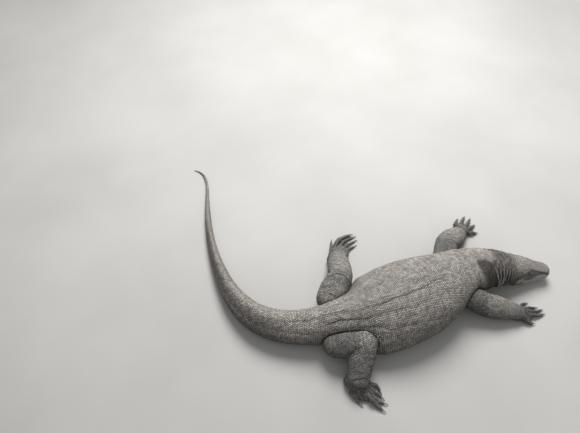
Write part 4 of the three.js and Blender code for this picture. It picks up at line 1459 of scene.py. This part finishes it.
def markings(place, spots, facing):
    """The markings at places on the skin that face a given way."""
    s, turn, round_, up = place.s, place.turn, np.abs(place.turn), facing[:, 2]
    cloud, fine = clouds(spots, 0.12, 21), clouds(spots, 0.03, 22)
    body = (place.owner == 0).astype(float)
    dust = step(up + 0.14 * cloud + 0.08 * fine, 0.1, 0.9)
    # painted shade: places that face down, and the trunk near the floor, are darkened towards SHADED
    low = step(-up - 0.1 * cloud, -0.3, 0.3)
    near_floor = 1 - step(place.height + 12 * cloud, 35, 95)
    low = np.maximum(0.85 * low, near_floor * body * between(s, -60, 640, 60))
    legs, dustless_and_shade = 1 - body, np.zeros(len(s))
    for name, bare in LEG_WORN_AND_SHADED.items():
        k = FORM_NAMES.index(f"{name}_upper")
        legs = np.where(place.owner == k, step(place.along[:, k], 0.05, 0.5) * 0.8 + 0.2, legs)
        low_k = FORM_NAMES.index(f"{name}_lower")
        knee = 0.8 * step(up, 0.1, 0.7) * np.where(place.owner == k, step(place.along[:, k], 0.7, 1),
                                                   1 - step(place.along[:, low_k], 0, 0.3))
        dustless_and_shade = np.where(place.owner == k, bare[0] * (1 - knee), dustless_and_shade)
        along = step(place.along[:, low_k], 0.6, 1)
        dustless_and_shade = np.where(place.owner == low_k, bare[1] * (1 - knee) * (1 - along) + bare[2] * along, dustless_and_shade)
        dustless_and_shade = np.where(place.on(f"{name}_sole", *toes_of(name)), bare[2], dustless_and_shade)
    feet = place.on(*[n for n in FORM_NAMES if "toe" in n or "sole" in n]) * (1 - 0.3 * step(up, 0.55, 0.95))
    # painted shade on the near side of the tail
    near_tail_shade = 1.1 * between(s, -950, -250, 90) * step(-turn + 4 * fine, -2, 10)
    pale_to = 705 + 70 * step(turn, -36, 6)  # the dusty back reaches further on to the neck at the top
    nape = step(s, pale_to - 22, pale_to + 22) * (1 - step(s, 863, 907)) * (1 - 0.3 * bell(turn, 0, 9))
    dustless_and_shade = np.maximum(dustless_and_shade, body * np.maximum(0.85 * near_tail_shade, 0.9 * nape))
    dustless_and_shade = np.clip(dustless_and_shade * (1 + 0.35 * fine), 0, 1)
    patch = step(inside_outline(s + 9 * fine, -turn + 5 * fine, NECK_PATCH), -4, 4)
    spot = 1 - step(np.hypot((s - 816) / 11, (turn - 20) / 8) + 0.3 * fine, 0.4, 1.5)
    slack, ridge = neck_ridges(s, round_)
    # the dark loose skin of the neck, partly its own colour and partly painted shade in the sunken furrows
    # between its ridges
    neck = np.maximum(slack * (1 - ridge), 0.42 * step(s, pale_to - 30, pale_to + 40) * (1 - step(s, 835, 925))
                      * step(-turn, -75, 10) * (1 + 2.6 * clouds(spots, 0.011, 31)))
    neck = np.clip(neck, 0, 1)
    head = step(s, HEAD_FROM, 905) * body
    side = head * step(round_, 24, 40)
    above_lip = place.height - follow(s, MOUTH)
    below_brow = follow(s, BROW) - place.height
    # painted shade under the brow ridge, round the eye and behind the jaw
    head_shade = side * between(below_brow, 3, 9, 3) * between(s, 950, 1064, 12)
    behind_jaw = side * bell(s - 912 + 0.3 * (place.height - 70), 0, 4) * between(place.height, 50, 98, 8)
    head_shade = np.maximum(head_shade, behind_jaw)
    lips = (1 - step(above_lip - 13 * between(s, 985, 1048, 16), 7, 12)) * (1 - step(-above_lip, 10, 15))
    lips = np.clip(side * lips * step(s, 918, 950) * (0.9 + 0.5 * clouds(spots, 0.007, 32)), 0, 1)
    # painted shade in the slit of the mouth
    mouth = side * (1 - step(np.abs(above_lip), 0.6, 1.6)) * step(s, 910, 930)
    cheek = side * (1 - step(np.hypot((s - 908) / 24, (place.height - 66) / 16) + 0.2 * fine, 0.6, 1.2))
    socket = np.hypot((s - EYE_S + 2) / 19, (place.height - EYE_HIGH - 1) / 14)
    head_shade = np.maximum(head_shade, 0.9 * head * step(round_, 12, 26) * (1 - step(socket + 0.2 * fine, 0.5, 1.2)))
    head_shade = np.clip(head_shade * (0.85 + 0.9 * clouds(spots, 0.007, 32)), 0, 1)
    lids = head * step(round_, 16, 30) * (1 - step(np.abs(lid_share(place) - 1.3), 0.12, 0.3))
    # painted shade inside the nostrils and the ears
    opening = np.minimum(nostril_share(place), ear_share(place))
    holes = head * step(round_, 16, 30) * (1 - step(opening, 0.8, 1.15))
    pale = np.maximum.reduce([lips, 0.8 * lids, 0.55 * cheek, 0.8 * slack * ridge * body])
    low = low * (1 - 0.6 * head)
    return {"dust": dust, "low": low, "legs": legs, "feet": feet, "dustless_and_shade": dustless_and_shade,
            "patch": body * np.maximum(patch, 0.7 * spot), "neck": neck * body, "face": side,
            # painted shade in the creases, folds, grooves between the toes, under the brow, round the eye,
            # behind the jaw, in the mouth, the nostrils and the ears
            "shade_in_hollows": np.maximum.reduce([0.7 * head_shade * (1 - lids), mouth, holes, 0.9 * limb_crease(place),
                                       0.6 * joint_crease(place), np.minimum(0.22 * folds(spots), 0.75),
                                       0.6 * (feet > 0) * toe_gaps(spots),
                                       0.2 * body * back_creases(s, place.out, spots)]),
            "pale": pale * (1 - np.maximum(mouth, holes))}


scale_marks = markings(root_place, roots, ups)
skin_place = Places(points)
skin_marks = markings(skin_place, points, normals)
print("markings:", {k: round(float(v.mean()), 2) for k, v in scale_marks.items()})

# %% Pieces of the coat
def chart(form_index, place, spots):
    """Where the roots of one form's scales lie when its skin is unrolled flat, from 0 to 1 each way."""
    name = FORM_NAMES[form_index]
    if name == "body":
        return np.stack([place.s, (place.turn + 180) / 360], 1)
    leg, part = name.rsplit("_", 1) if "_toe_" not in name else (name[: name.index("_toe_")], "toe")
    _, kind, _, upper, lower, foot = LEGS[leg]
    root, bend, ankle = joints(leg)
    t = place.along[:, form_index]
    if part in ("upper", "lower"):
        start, bone = (root, upper) if part == "upper" else (bend, lower)
        length = kind[part][0]
        along = towards(*bone)
        away = spots - start
        level = np.cross([0, 0, 1], along)
        level /= np.linalg.norm(level)
        angle = np.arctan2(away @ np.cross(along, level), away @ level)
        share = np.clip((away @ along) / (length * MM), -0.35, 1.35)
        low, high = (0.02, 0.36) if part == "upper" else (0.38, 0.68)
        down, about = low + (high - low) * (share + 0.35) / 1.7, angle / (2 * np.pi) + 0.5
        return np.stack([down, 0.02 + 0.96 * about], 1)
    way = towards(foot)
    if part == "sole":
        away = spots - ankle
        level = away @ np.cross([0, 0, 1], way)
        angle = np.arctan2(spots[:, 2] - kind["sole"][2] * 0.35 * MM, level)
        share = np.clip((t + 0.85) / 2.1, 0, 1)
        return np.stack([0.70 + 0.12 * share, 0.02 + 0.96 * (angle / (2 * np.pi) + 0.5)], 1)
    number = int(name[-1])
    path, _ = TOES[leg, number]
    where = np.clip(t, 0, 1) * (len(path) - 1)
    middle = np.stack([np.interp(where, np.arange(len(path)), path[:, k]) for k in range(3)], 1)
    out = path[-1] - path[3]
    out = out / np.linalg.norm(out)
    away = spots - middle
    angle = np.arctan2(away[:, 2], away @ np.cross([0, 0, 1], out))
    beyond = np.clip(away @ out / 0.012, -0.5, 1)
    share = np.clip((t + 0.12 * beyond + 0.06) / 1.2, 0, 1)
    about = angle / (2 * np.pi) + 0.5
    return np.stack([0.84 + 0.14 * share, 0.02 + 0.192 * (number - 1) + 0.18 * about], 1)


def head_chart(spots):
    """The head unrolled round the tip of the snout, like a map round a pole."""
    middle = beside(985, 0, 55)
    bearing = np.interp(985, SPINE_S, SPINE_BEARING)
    ahead = np.array([np.cos(bearing), np.sin(bearing), 0])
    left = np.array([-np.sin(bearing), np.cos(bearing), 0])
    away = spots - middle
    away /= np.linalg.norm(away, axis=1)[:, None]
    polar = np.arccos(np.clip(away @ ahead, -1, 1)) / np.pi
    round_ = np.arctan2(away[:, 2], away @ left)
    return np.stack([0.5 + 0.48 * polar * np.cos(round_), 0.5 + 0.48 * polar * np.sin(round_)], 1)


coat = []
own_chart = np.zeros((len(roots), 2))
for k, form in enumerate(FORM_NAMES):
    mine = np.flatnonzero(root_place.owner == k)
    if len(mine):
        own_chart[mine] = chart(k, root_place.take(mine), roots[mine])
on_body = root_place.owner == 0
on_head = on_body & (root_place.s > 884)
own_chart[on_head] = head_chart(roots[on_head])
trunk = np.flatnonzero(on_body & ~on_head)
trunk = trunk[np.argsort(own_chart[trunk, 0])]
MOST = 190_000 // DOME_TRIANGLES
parts = {f"scales_body_{i + 1}": part for i, part in enumerate(np.array_split(trunk, -(-len(trunk) // MOST)))}
for part in parts.values():
    s = own_chart[part, 0]
    own_chart[part, 0] = 0.02 + 0.96 * (s - s.min()) / (s.max() - s.min())
    own_chart[part, 1] = 0.02 + 0.96 * own_chart[part, 1]
parts["scales_head"] = np.flatnonzero(on_head)
for name in LEGS:
    parts[f"scales_{name}"] = np.flatnonzero(root_place.on(*[n for n in FORM_NAMES if n.startswith(name)]))
for name, chosen in parts.items():
    coat.append(scale_piece(name, chosen, own_chart[chosen], scale_marks))
for mark, values in skin_marks.items():
    put_mark(skin.data, mark, values)
put_mark(skin.data, "crown", np.zeros(len(points)))
put_mark(skin.data, "own", np.full(len(points), 0.5))
skin.data.polygons.foreach_set("use_smooth", np.ones(len(skin.data.polygons), bool))
print("coat:", {n: len(c) for n, c in parts.items()}, "and", DOME_TRIANGLES * len(roots), "triangles")

# %% [markdown]
# The eyes are glossy balls set behind the lids, dark brown with a round pupil and a thin lighter ring.
# The claws are curved horn, deeper than they are wide, and worn blunt at the point.

# %% Eyes
def eye_ball(name):
    """A smooth ball that looks out to the side, with each point's angle from the middle of the pupil."""
    centre, radius = EYE_CENTRES[name], float((EYES[name][1] - EYES[name][0])[0]) / 2 - 0.0008
    side = 1 if name.endswith("left") else -1
    bearing = np.interp(EYE_S, SPINE_S, SPINE_BEARING)
    ahead = np.array([np.cos(bearing), np.sin(bearing), 0])
    out = np.array([-np.sin(bearing), np.cos(bearing), 0]) * side
    gaze = out + 0.2 * ahead + np.array([0, 0, 0.42])
    gaze /= np.linalg.norm(gaze)
    centre = centre - gaze * 0.0022
    a = np.cross(gaze, [0, 0, 1])
    a /= np.linalg.norm(a)
    b = np.cross(gaze, a)
    rings, sides = 40, 48
    polar = np.linspace(0, np.pi, rings + 1)[1:-1]
    turn = 2 * np.pi * np.arange(sides) / sides
    bulge = 0.93 + 0.05 * bell(np.degrees(polar), 0, 34)
    circle = np.cos(turn)[:, None] * a + np.sin(turn)[:, None] * b
    grid = [centre + radius * w * (np.cos(p) * gaze + np.sin(p) * circle) for p, w in zip(polar, bulge)]
    spots = np.concatenate([*grid, [centre + radius * 0.98 * gaze], [centre - radius * 0.93 * gaze]])
    faces = []
    for r in range(rings - 2):
        for i in range(sides):
            j = (i + 1) % sides
            faces.append((r * sides + i, (r + 1) * sides + i, (r + 1) * sides + j, r * sides + j))
    last = (rings - 2) * sides
    for i in range(sides):
        j = (i + 1) % sides
        faces.append((len(spots) - 2, i, j))
        faces.append((len(spots) - 1, last + j, last + i))
    made = mesh_object(name.replace("eye", "eyeball"), spots, faces)
    angle = np.concatenate([np.repeat(np.degrees(polar), sides), [0, 180]])
    put_mark(made.data, "gaze", angle / 90)
    made.data.polygons.foreach_set("use_smooth", np.ones(len(faces), bool))
    return made


eyes = [eye_ball(name) for name in EYES]
for name, made in zip(EYES, eyes):
    print(name, "radius %.1f mm" % (float((EYES[name][1] - EYES[name][0])[0]) / 2 / MM))

# %% Claws
def claw_form(name, number):
    """One claw from inside the toe's end, over a low arch, down to a blunt tip on the floor."""
    _, kind, _, _, _, _ = LEGS[name]
    length, root = (v * MM for v in kind["claw"])
    path, _ = TOES[name, number]
    out = path[-1] - path[-2]
    out[2] = 0
    out /= np.linalg.norm(out)
    start = path[-1] - out * 0.003
    whole = length + 0.003
    share = np.linspace(0, 1, 16)
    arch = whole * (0.15 * np.sin(np.pi * share) - 0.24 * share**2)
    line = start + out * (whole * share)[:, None]
    line[:, 2] = np.maximum(start[2] + arch, 1.2 * MM + 0.3 * MM)
    rings = []
    along = np.gradient(line, axis=0)
    along /= np.linalg.norm(along, axis=1)[:, None]
    for p, d, t in zip(line, along, share):
        radius = (root - 0.0003) * (1 - t) ** 0.8 + 0.0004
        rings.append(path_ring(p, d, radius * 0.72, radius * 0.96, 14))
    spots, faces = tube(rings)
    spots[:, 2] = np.maximum(spots[:, 2], 0.0002)
    return spots, faces, np.concatenate([np.repeat(share, 14), [0, 1]])


claws = []
for name in LEGS:
    made_claws = [claw_form(name, number) for number in range(1, 6)]
    made = mesh_object(f"claws_{name}", *joined([(p, f) for p, f, _ in made_claws]))
    put_mark(made.data, "tip", np.concatenate([t for _, _, t in made_claws]))
    made.data.polygons.foreach_set("use_smooth", np.ones(len(made.data.polygons), bool))
    claws.append(made)
print("claws:", len(claws) * 5)

# %% Ride the frame
CLAW_NODES = {name: [n for n in frame["nodes"] if n.startswith(f"{name}_claw")] for name in LEGS}
flesh_nodes = [n for n in frame["nodes"] if "claw" not in n and "eye" not in n]
for made in [skin, *coat, *eyes, *claws]:
    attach(made, "root")
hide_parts(*flesh_nodes)
for made, node in zip(eyes, EYES):
    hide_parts(node)
for made, nodes in zip(claws, CLAW_NODES.values()):
    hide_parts(*nodes)
print("replaced nodes:", len(flesh_nodes) + len(eyes) + sum(len(n) for n in CLAW_NODES.values()))

# %% [markdown]
# Finishes. The hide is dry and matt: dust lies on the tops of the scales, the feet of the scales and the
# skin between them are darkened as painted shade, and the bare patch on the neck has a faint sheen. One
# group of shader nodes turns the markings into a colour, a roughness and a fine grain, for the skin and
# the scales alike.

# %% Shader helpers
def node_group(name, inputs, outputs):
    """An empty shader group with named sockets, and short cuts to build in it."""
    group = bpy.data.node_groups.new(name, "ShaderNodeTree")
    for label, kind, default in inputs:
        socket = group.interface.new_socket(label, in_out="INPUT", socket_type=kind)
        socket.default_value = default
    for label, kind in outputs:
        group.interface.new_socket(label, in_out="OUTPUT", socket_type=kind)
    return group, group.nodes.new("NodeGroupInput"), group.nodes.new("NodeGroupOutput")


def feed(tree, socket, value):
    """Sets a socket to a constant, or links it to another socket."""
    if isinstance(value, bpy.types.NodeSocket):
        tree.links.new(value, socket)
    elif isinstance(value, tuple) and len(value) == 3 and socket.type == "RGBA":
        socket.default_value = (*value, 1)
    else:
        socket.default_value = value


def maths(tree, operation, *values):
    node = tree.nodes.new("ShaderNodeMath")
    node.operation = operation
    for socket, value in zip(node.inputs, values):
        feed(tree, socket, value)
    return node.outputs[0]


def mix(tree, share, first, second, how="MIX"):
    node = tree.nodes.new("ShaderNodeMix")
    node.data_type, node.blend_type = "RGBA", how
    feed(tree, node.inputs["Factor"], share)
    feed(tree, node.inputs[6], first)
    feed(tree, node.inputs[7], second)
    return node.outputs[2]


def grain(tree, place, size, detail=2.0):
    """Noise with lumps of about this size, in metres."""
    node = tree.nodes.new("ShaderNodeTexNoise")
    feed(tree, node.inputs["Vector"], place)
    node.inputs["Scale"].default_value = 1 / size
    node.inputs["Detail"].default_value = detail
    return node.outputs["Fac"]


def spread_to(tree, value, low, high, start=0.0, end=1.0):
    """A value from start..end mapped on to low..high."""
    node = tree.nodes.new("ShaderNodeMapRange")
    sockets = ("Value", "From Min", "From Max", "To Min", "To Max")
    for socket, v in zip(sockets, (value, start, end, low, high)):
        feed(tree, node.inputs[socket], v)
    return node.outputs[0]


def read_mark(tree, name):
    node = tree.nodes.new("ShaderNodeAttribute")
    node.attribute_name = name
    return node.outputs["Fac"]


print("shader helpers ready")

# %% The look of the hide
MARKS = ("dust", "low", "legs", "feet", "dustless_and_shade", "patch", "neck", "face", "shade_in_hollows", "pale", "own", "crown")
HIDE = (0.245, 0.224, 0.198)  # clean scales of the trunk
DUSTED = (0.420, 0.390, 0.352)
SHADED = (0.090, 0.080, 0.067)  # low on the flanks and under the belly
LEG_GREY = (0.220, 0.217, 0.206)
FOOT_GREY = (0.138, 0.134, 0.125)
NECK_DARK = (0.070, 0.063, 0.055)
BARE = (0.118, 0.104, 0.090)
FACE = (0.225, 0.206, 0.184)
# painted shade in creases, folds and openings
HOLLOW_SHADE = (0.045, 0.040, 0.035)
# pale lips, lids, cheeks and neck ridges, set paler than their own colour as painted light on the shaded side
# of the head
PALE_AND_LIT = (0.720, 0.672, 0.604)

look, given, result = node_group(
    "hide_look", [(m, "NodeSocketFloat", 0.0) for m in MARKS],
    [("Color", "NodeSocketColor"), ("Roughness", "NodeSocketFloat"), ("Height", "NodeSocketFloat")])
mark = given.outputs
where = look.nodes.new("ShaderNodeTexCoord").outputs["Object"]
broad, blotch = grain(look, where, 0.11, 3), grain(look, where, 0.028, 3)
speck = grain(look, where, 0.0045, 2)
dusty = maths(look, "MULTIPLY", mark["dust"], spread_to(look, blotch, 0.84, 1.1, 0.3, 0.7))
dusty = maths(look, "MULTIPLY", maths(look, "MINIMUM", dusty, 1.0),
              maths(look, "SUBTRACT", 1.0, maths(look, "MULTIPLY", mark["dustless_and_shade"], 0.7)))
colour = mix(look, dusty, HIDE, DUSTED)
legs = mix(look, maths(look, "MULTIPLY", dusty, 0.75), LEG_GREY, DUSTED)
colour = mix(look, mark["legs"], colour, legs)
colour = mix(look, maths(look, "MULTIPLY", mark["feet"], 0.75), colour, FOOT_GREY)
# painted shade on what faces down, the low flanks and near the floor
colour = mix(look, maths(look, "MULTIPLY", mark["low"], 0.85), colour, SHADED)
# dark neck skin, with painted shade in the furrows between its ridges
colour = mix(look, maths(look, "MULTIPLY", mark["neck"], 0.9), colour, NECK_DARK)
colour = mix(look, maths(look, "MULTIPLY", mark["face"], 0.85), colour, FACE)
colour = mix(look, mark["patch"], colour, BARE)
# painted shade in creases, folds and openings
colour = mix(look, mark["shade_in_hollows"], colour, HOLLOW_SHADE)
# pale marks, partly their own colour and partly painted light
colour = mix(look, mark["pale"], colour, PALE_AND_LIT)
shade = maths(look, "MULTIPLY", spread_to(look, broad, 0.93, 1.08, 0.3, 0.7),
              spread_to(look, blotch, 0.93, 1.10, 0.3, 0.7))
shade = maths(look, "MULTIPLY", shade, spread_to(look, mark["own"], 0.62, 1.38))
shade = maths(look, "MULTIPLY", shade, spread_to(look, speck, 0.93, 1.07, 0.3, 0.7))
# painted shade: darker towards the foot of each scale and on the skin between scales, where the gaps lie in
# shade
shade = maths(look, "MULTIPLY", shade, spread_to(look, mark["crown"], 0.15, 1.08, 0.0, 0.95))
# darker where the dust is worn off, and painted shade on the near side of the tail and legs
shade = maths(look, "MULTIPLY", shade,
              maths(look, "SUBTRACT", 1.0, maths(look, "MULTIPLY", mark["dustless_and_shade"], 0.32)))
gray = look.nodes.new("ShaderNodeCombineColor")
for socket in gray.inputs[:3]:
    feed(look, socket, shade)
colour = mix(look, 1.0, colour, gray.outputs[0], "MULTIPLY")
rough = spread_to(look, blotch, 0.68, 0.84, 0.3, 0.7)
rough = maths(look, "SUBTRACT", rough, maths(look, "MULTIPLY", mark["patch"], 0.16))
feed(look, result.inputs["Color"], colour)
feed(look, result.inputs["Roughness"], rough)
feed(look, result.inputs["Height"], grain(look, where, 0.0016, 3))
print("hide look reads", ", ".join(MARKS))


# %% Materials
def material(name):
    made = bpy.data.materials.new(name)
    made.use_nodes = True
    return made, made.node_tree, made.node_tree.nodes["Principled BSDF"]


def hide_material(name, depth):
    """The hide on one kind of piece, with a fine grain of the given depth in metres."""
    made, tree, surface = material(name)
    used = tree.nodes.new("ShaderNodeGroup")
    used.node_tree = look
    for label in MARKS:
        feed(tree, used.inputs[label], read_mark(tree, label))
    feed(tree, surface.inputs["Base Color"], used.outputs["Color"])
    feed(tree, surface.inputs["Roughness"], used.outputs["Roughness"])
    surface.inputs["Specular IOR Level"].default_value = 0.35
    bump = tree.nodes.new("ShaderNodeBump")
    bump.inputs["Distance"].default_value = depth
    bump.inputs["Strength"].default_value = 0.5
    feed(tree, bump.inputs["Height"], used.outputs["Height"])
    feed(tree, surface.inputs["Normal"], bump.outputs[0])
    return made


skin_finish, scale_finish = hide_material("hide_between_scales", 0.0006), hide_material("hide_scales", 0.0003)
skin.data.materials.clear()
skin.data.materials.append(skin_finish)
for made in coat:
    made.data.materials.append(scale_finish)

eye_finish, tree, surface = material("eye_wet")
gaze = read_mark(tree, "gaze")
rays = grain(tree, tree.nodes.new("ShaderNodeTexCoord").outputs["Object"], 0.0011, 3)
iris = mix(tree, spread_to(tree, rays, 0.0, 1.0, 0.35, 0.65), (0.050, 0.030, 0.014), (0.135, 0.080, 0.034))
ring = spread_to(tree, gaze, 0.0, 1.0, 0.2, 0.225)
colour = mix(tree, ring, (0.004, 0.004, 0.004), iris)
colour = mix(tree, spread_to(tree, gaze, 0.0, 1.0, 0.46, 0.56), colour, (0.016, 0.011, 0.008))
feed(tree, surface.inputs["Base Color"], colour)
feed(tree, surface.inputs["Roughness"], spread_to(tree, rays, 0.08, 0.16))
surface.inputs["Coat Weight"].default_value = 1.0
surface.inputs["Coat Roughness"].default_value = 0.03
for made in eyes:
    made.data.materials.append(eye_finish)

horn_finish, tree, surface = material("claw_horn")
tip = read_mark(tree, "tip")
where = tree.nodes.new("ShaderNodeTexCoord").outputs["Object"]
streak, wear = grain(tree, where, 0.0022, 3), grain(tree, where, 0.009, 3)
horn = mix(tree, tip, (0.200, 0.190, 0.172), (0.070, 0.063, 0.055))
horn = mix(tree, spread_to(tree, wear, 0.0, 0.75, 0.4, 0.7), horn, (0.290, 0.275, 0.250))
feed(tree, surface.inputs["Base Color"], horn)
feed(tree, surface.inputs["Roughness"], spread_to(tree, wear, 0.38, 0.7))
bump = tree.nodes.new("ShaderNodeBump")
bump.inputs["Distance"].default_value = 0.0004
feed(tree, bump.inputs["Height"], streak)
feed(tree, surface.inputs["Normal"], bump.outputs[0])
for made in claws:
    made.data.materials.append(horn_finish)
print("materials:", [m.name for m in bpy.data.materials])

# %% [markdown]
# The camera stands above the animal's near side and looks steeply down on it, a little behind its
# middle. The floor is plain and pale, and the light is soft, from above and beyond the animal.

# %% Camera
CAMERA_PLACE = (-0.208, -0.862, 2.05)  # from the hips, in metres
CAMERA_TILT = 54  # degrees below level
CAMERA_LENS, SENSOR = 29.79, 36  # mm
camera = bpy.data.objects.new("camera", bpy.data.cameras.new("camera"))
bpy.context.scene.collection.objects.link(camera)
camera.data.sensor_width, camera.data.sensor_fit, camera.data.lens = SENSOR, "HORIZONTAL", CAMERA_LENS
camera.location = HIPS + np.array(CAMERA_PLACE)
camera.rotation_euler = (np.radians(90 - CAMERA_TILT), 0, 0)
camera.data.clip_end = 60
bpy.context.scene.camera = camera
print("camera at", np.round(camera.location, 3))

# %% Floor
floor = mesh_object("floor", [(-8, -8, 0), (8, -8, 0), (8, 10, 0), (-8, 10, 0)], [(0, 1, 2, 3)])
floor_finish, tree, surface = material("floor_pale")
where = tree.nodes.new("ShaderNodeTexCoord").outputs["Object"]
soft = grain(tree, where, 0.6, 3)
feed(tree, surface.inputs["Base Color"],
     mix(tree, spread_to(tree, soft, 0, 1, 0.35, 0.65), (0.52, 0.505, 0.48), (0.57, 0.555, 0.53)))
feed(tree, surface.inputs["Roughness"], spread_to(tree, soft, 0.85, 0.95))
floor.data.materials.append(floor_finish)
print("floor is plain")

# %% Light
world = bpy.data.worlds.new("sky")
bpy.context.scene.world = world
world.use_nodes = True
world.node_tree.nodes["Background"].inputs["Color"].default_value = (0.95, 0.97, 1.0, 1)
world.node_tree.nodes["Background"].inputs["Strength"].default_value = 0.38


def lamp(name, place, target, size, power):
    """A soft round lamp that faces a target."""
    made = bpy.data.objects.new(name, bpy.data.lights.new(name, "AREA"))
    made.data.shape, made.data.size, made.data.energy = "DISK", size, power
    made.location = place
    made.rotation_euler = (Vector(target) - Vector(place)).to_track_quat("-Z", "Y").to_euler()
    bpy.context.scene.collection.objects.link(made)
    return made


lamps = [lamp("window", (0.2, 2.3, 3.3), (0, 0.1, 0), 2.2, 185)]
bpy.context.scene.view_settings.view_transform = "Standard"
print("lamps:", [made.name for made in lamps])

# %% [markdown]
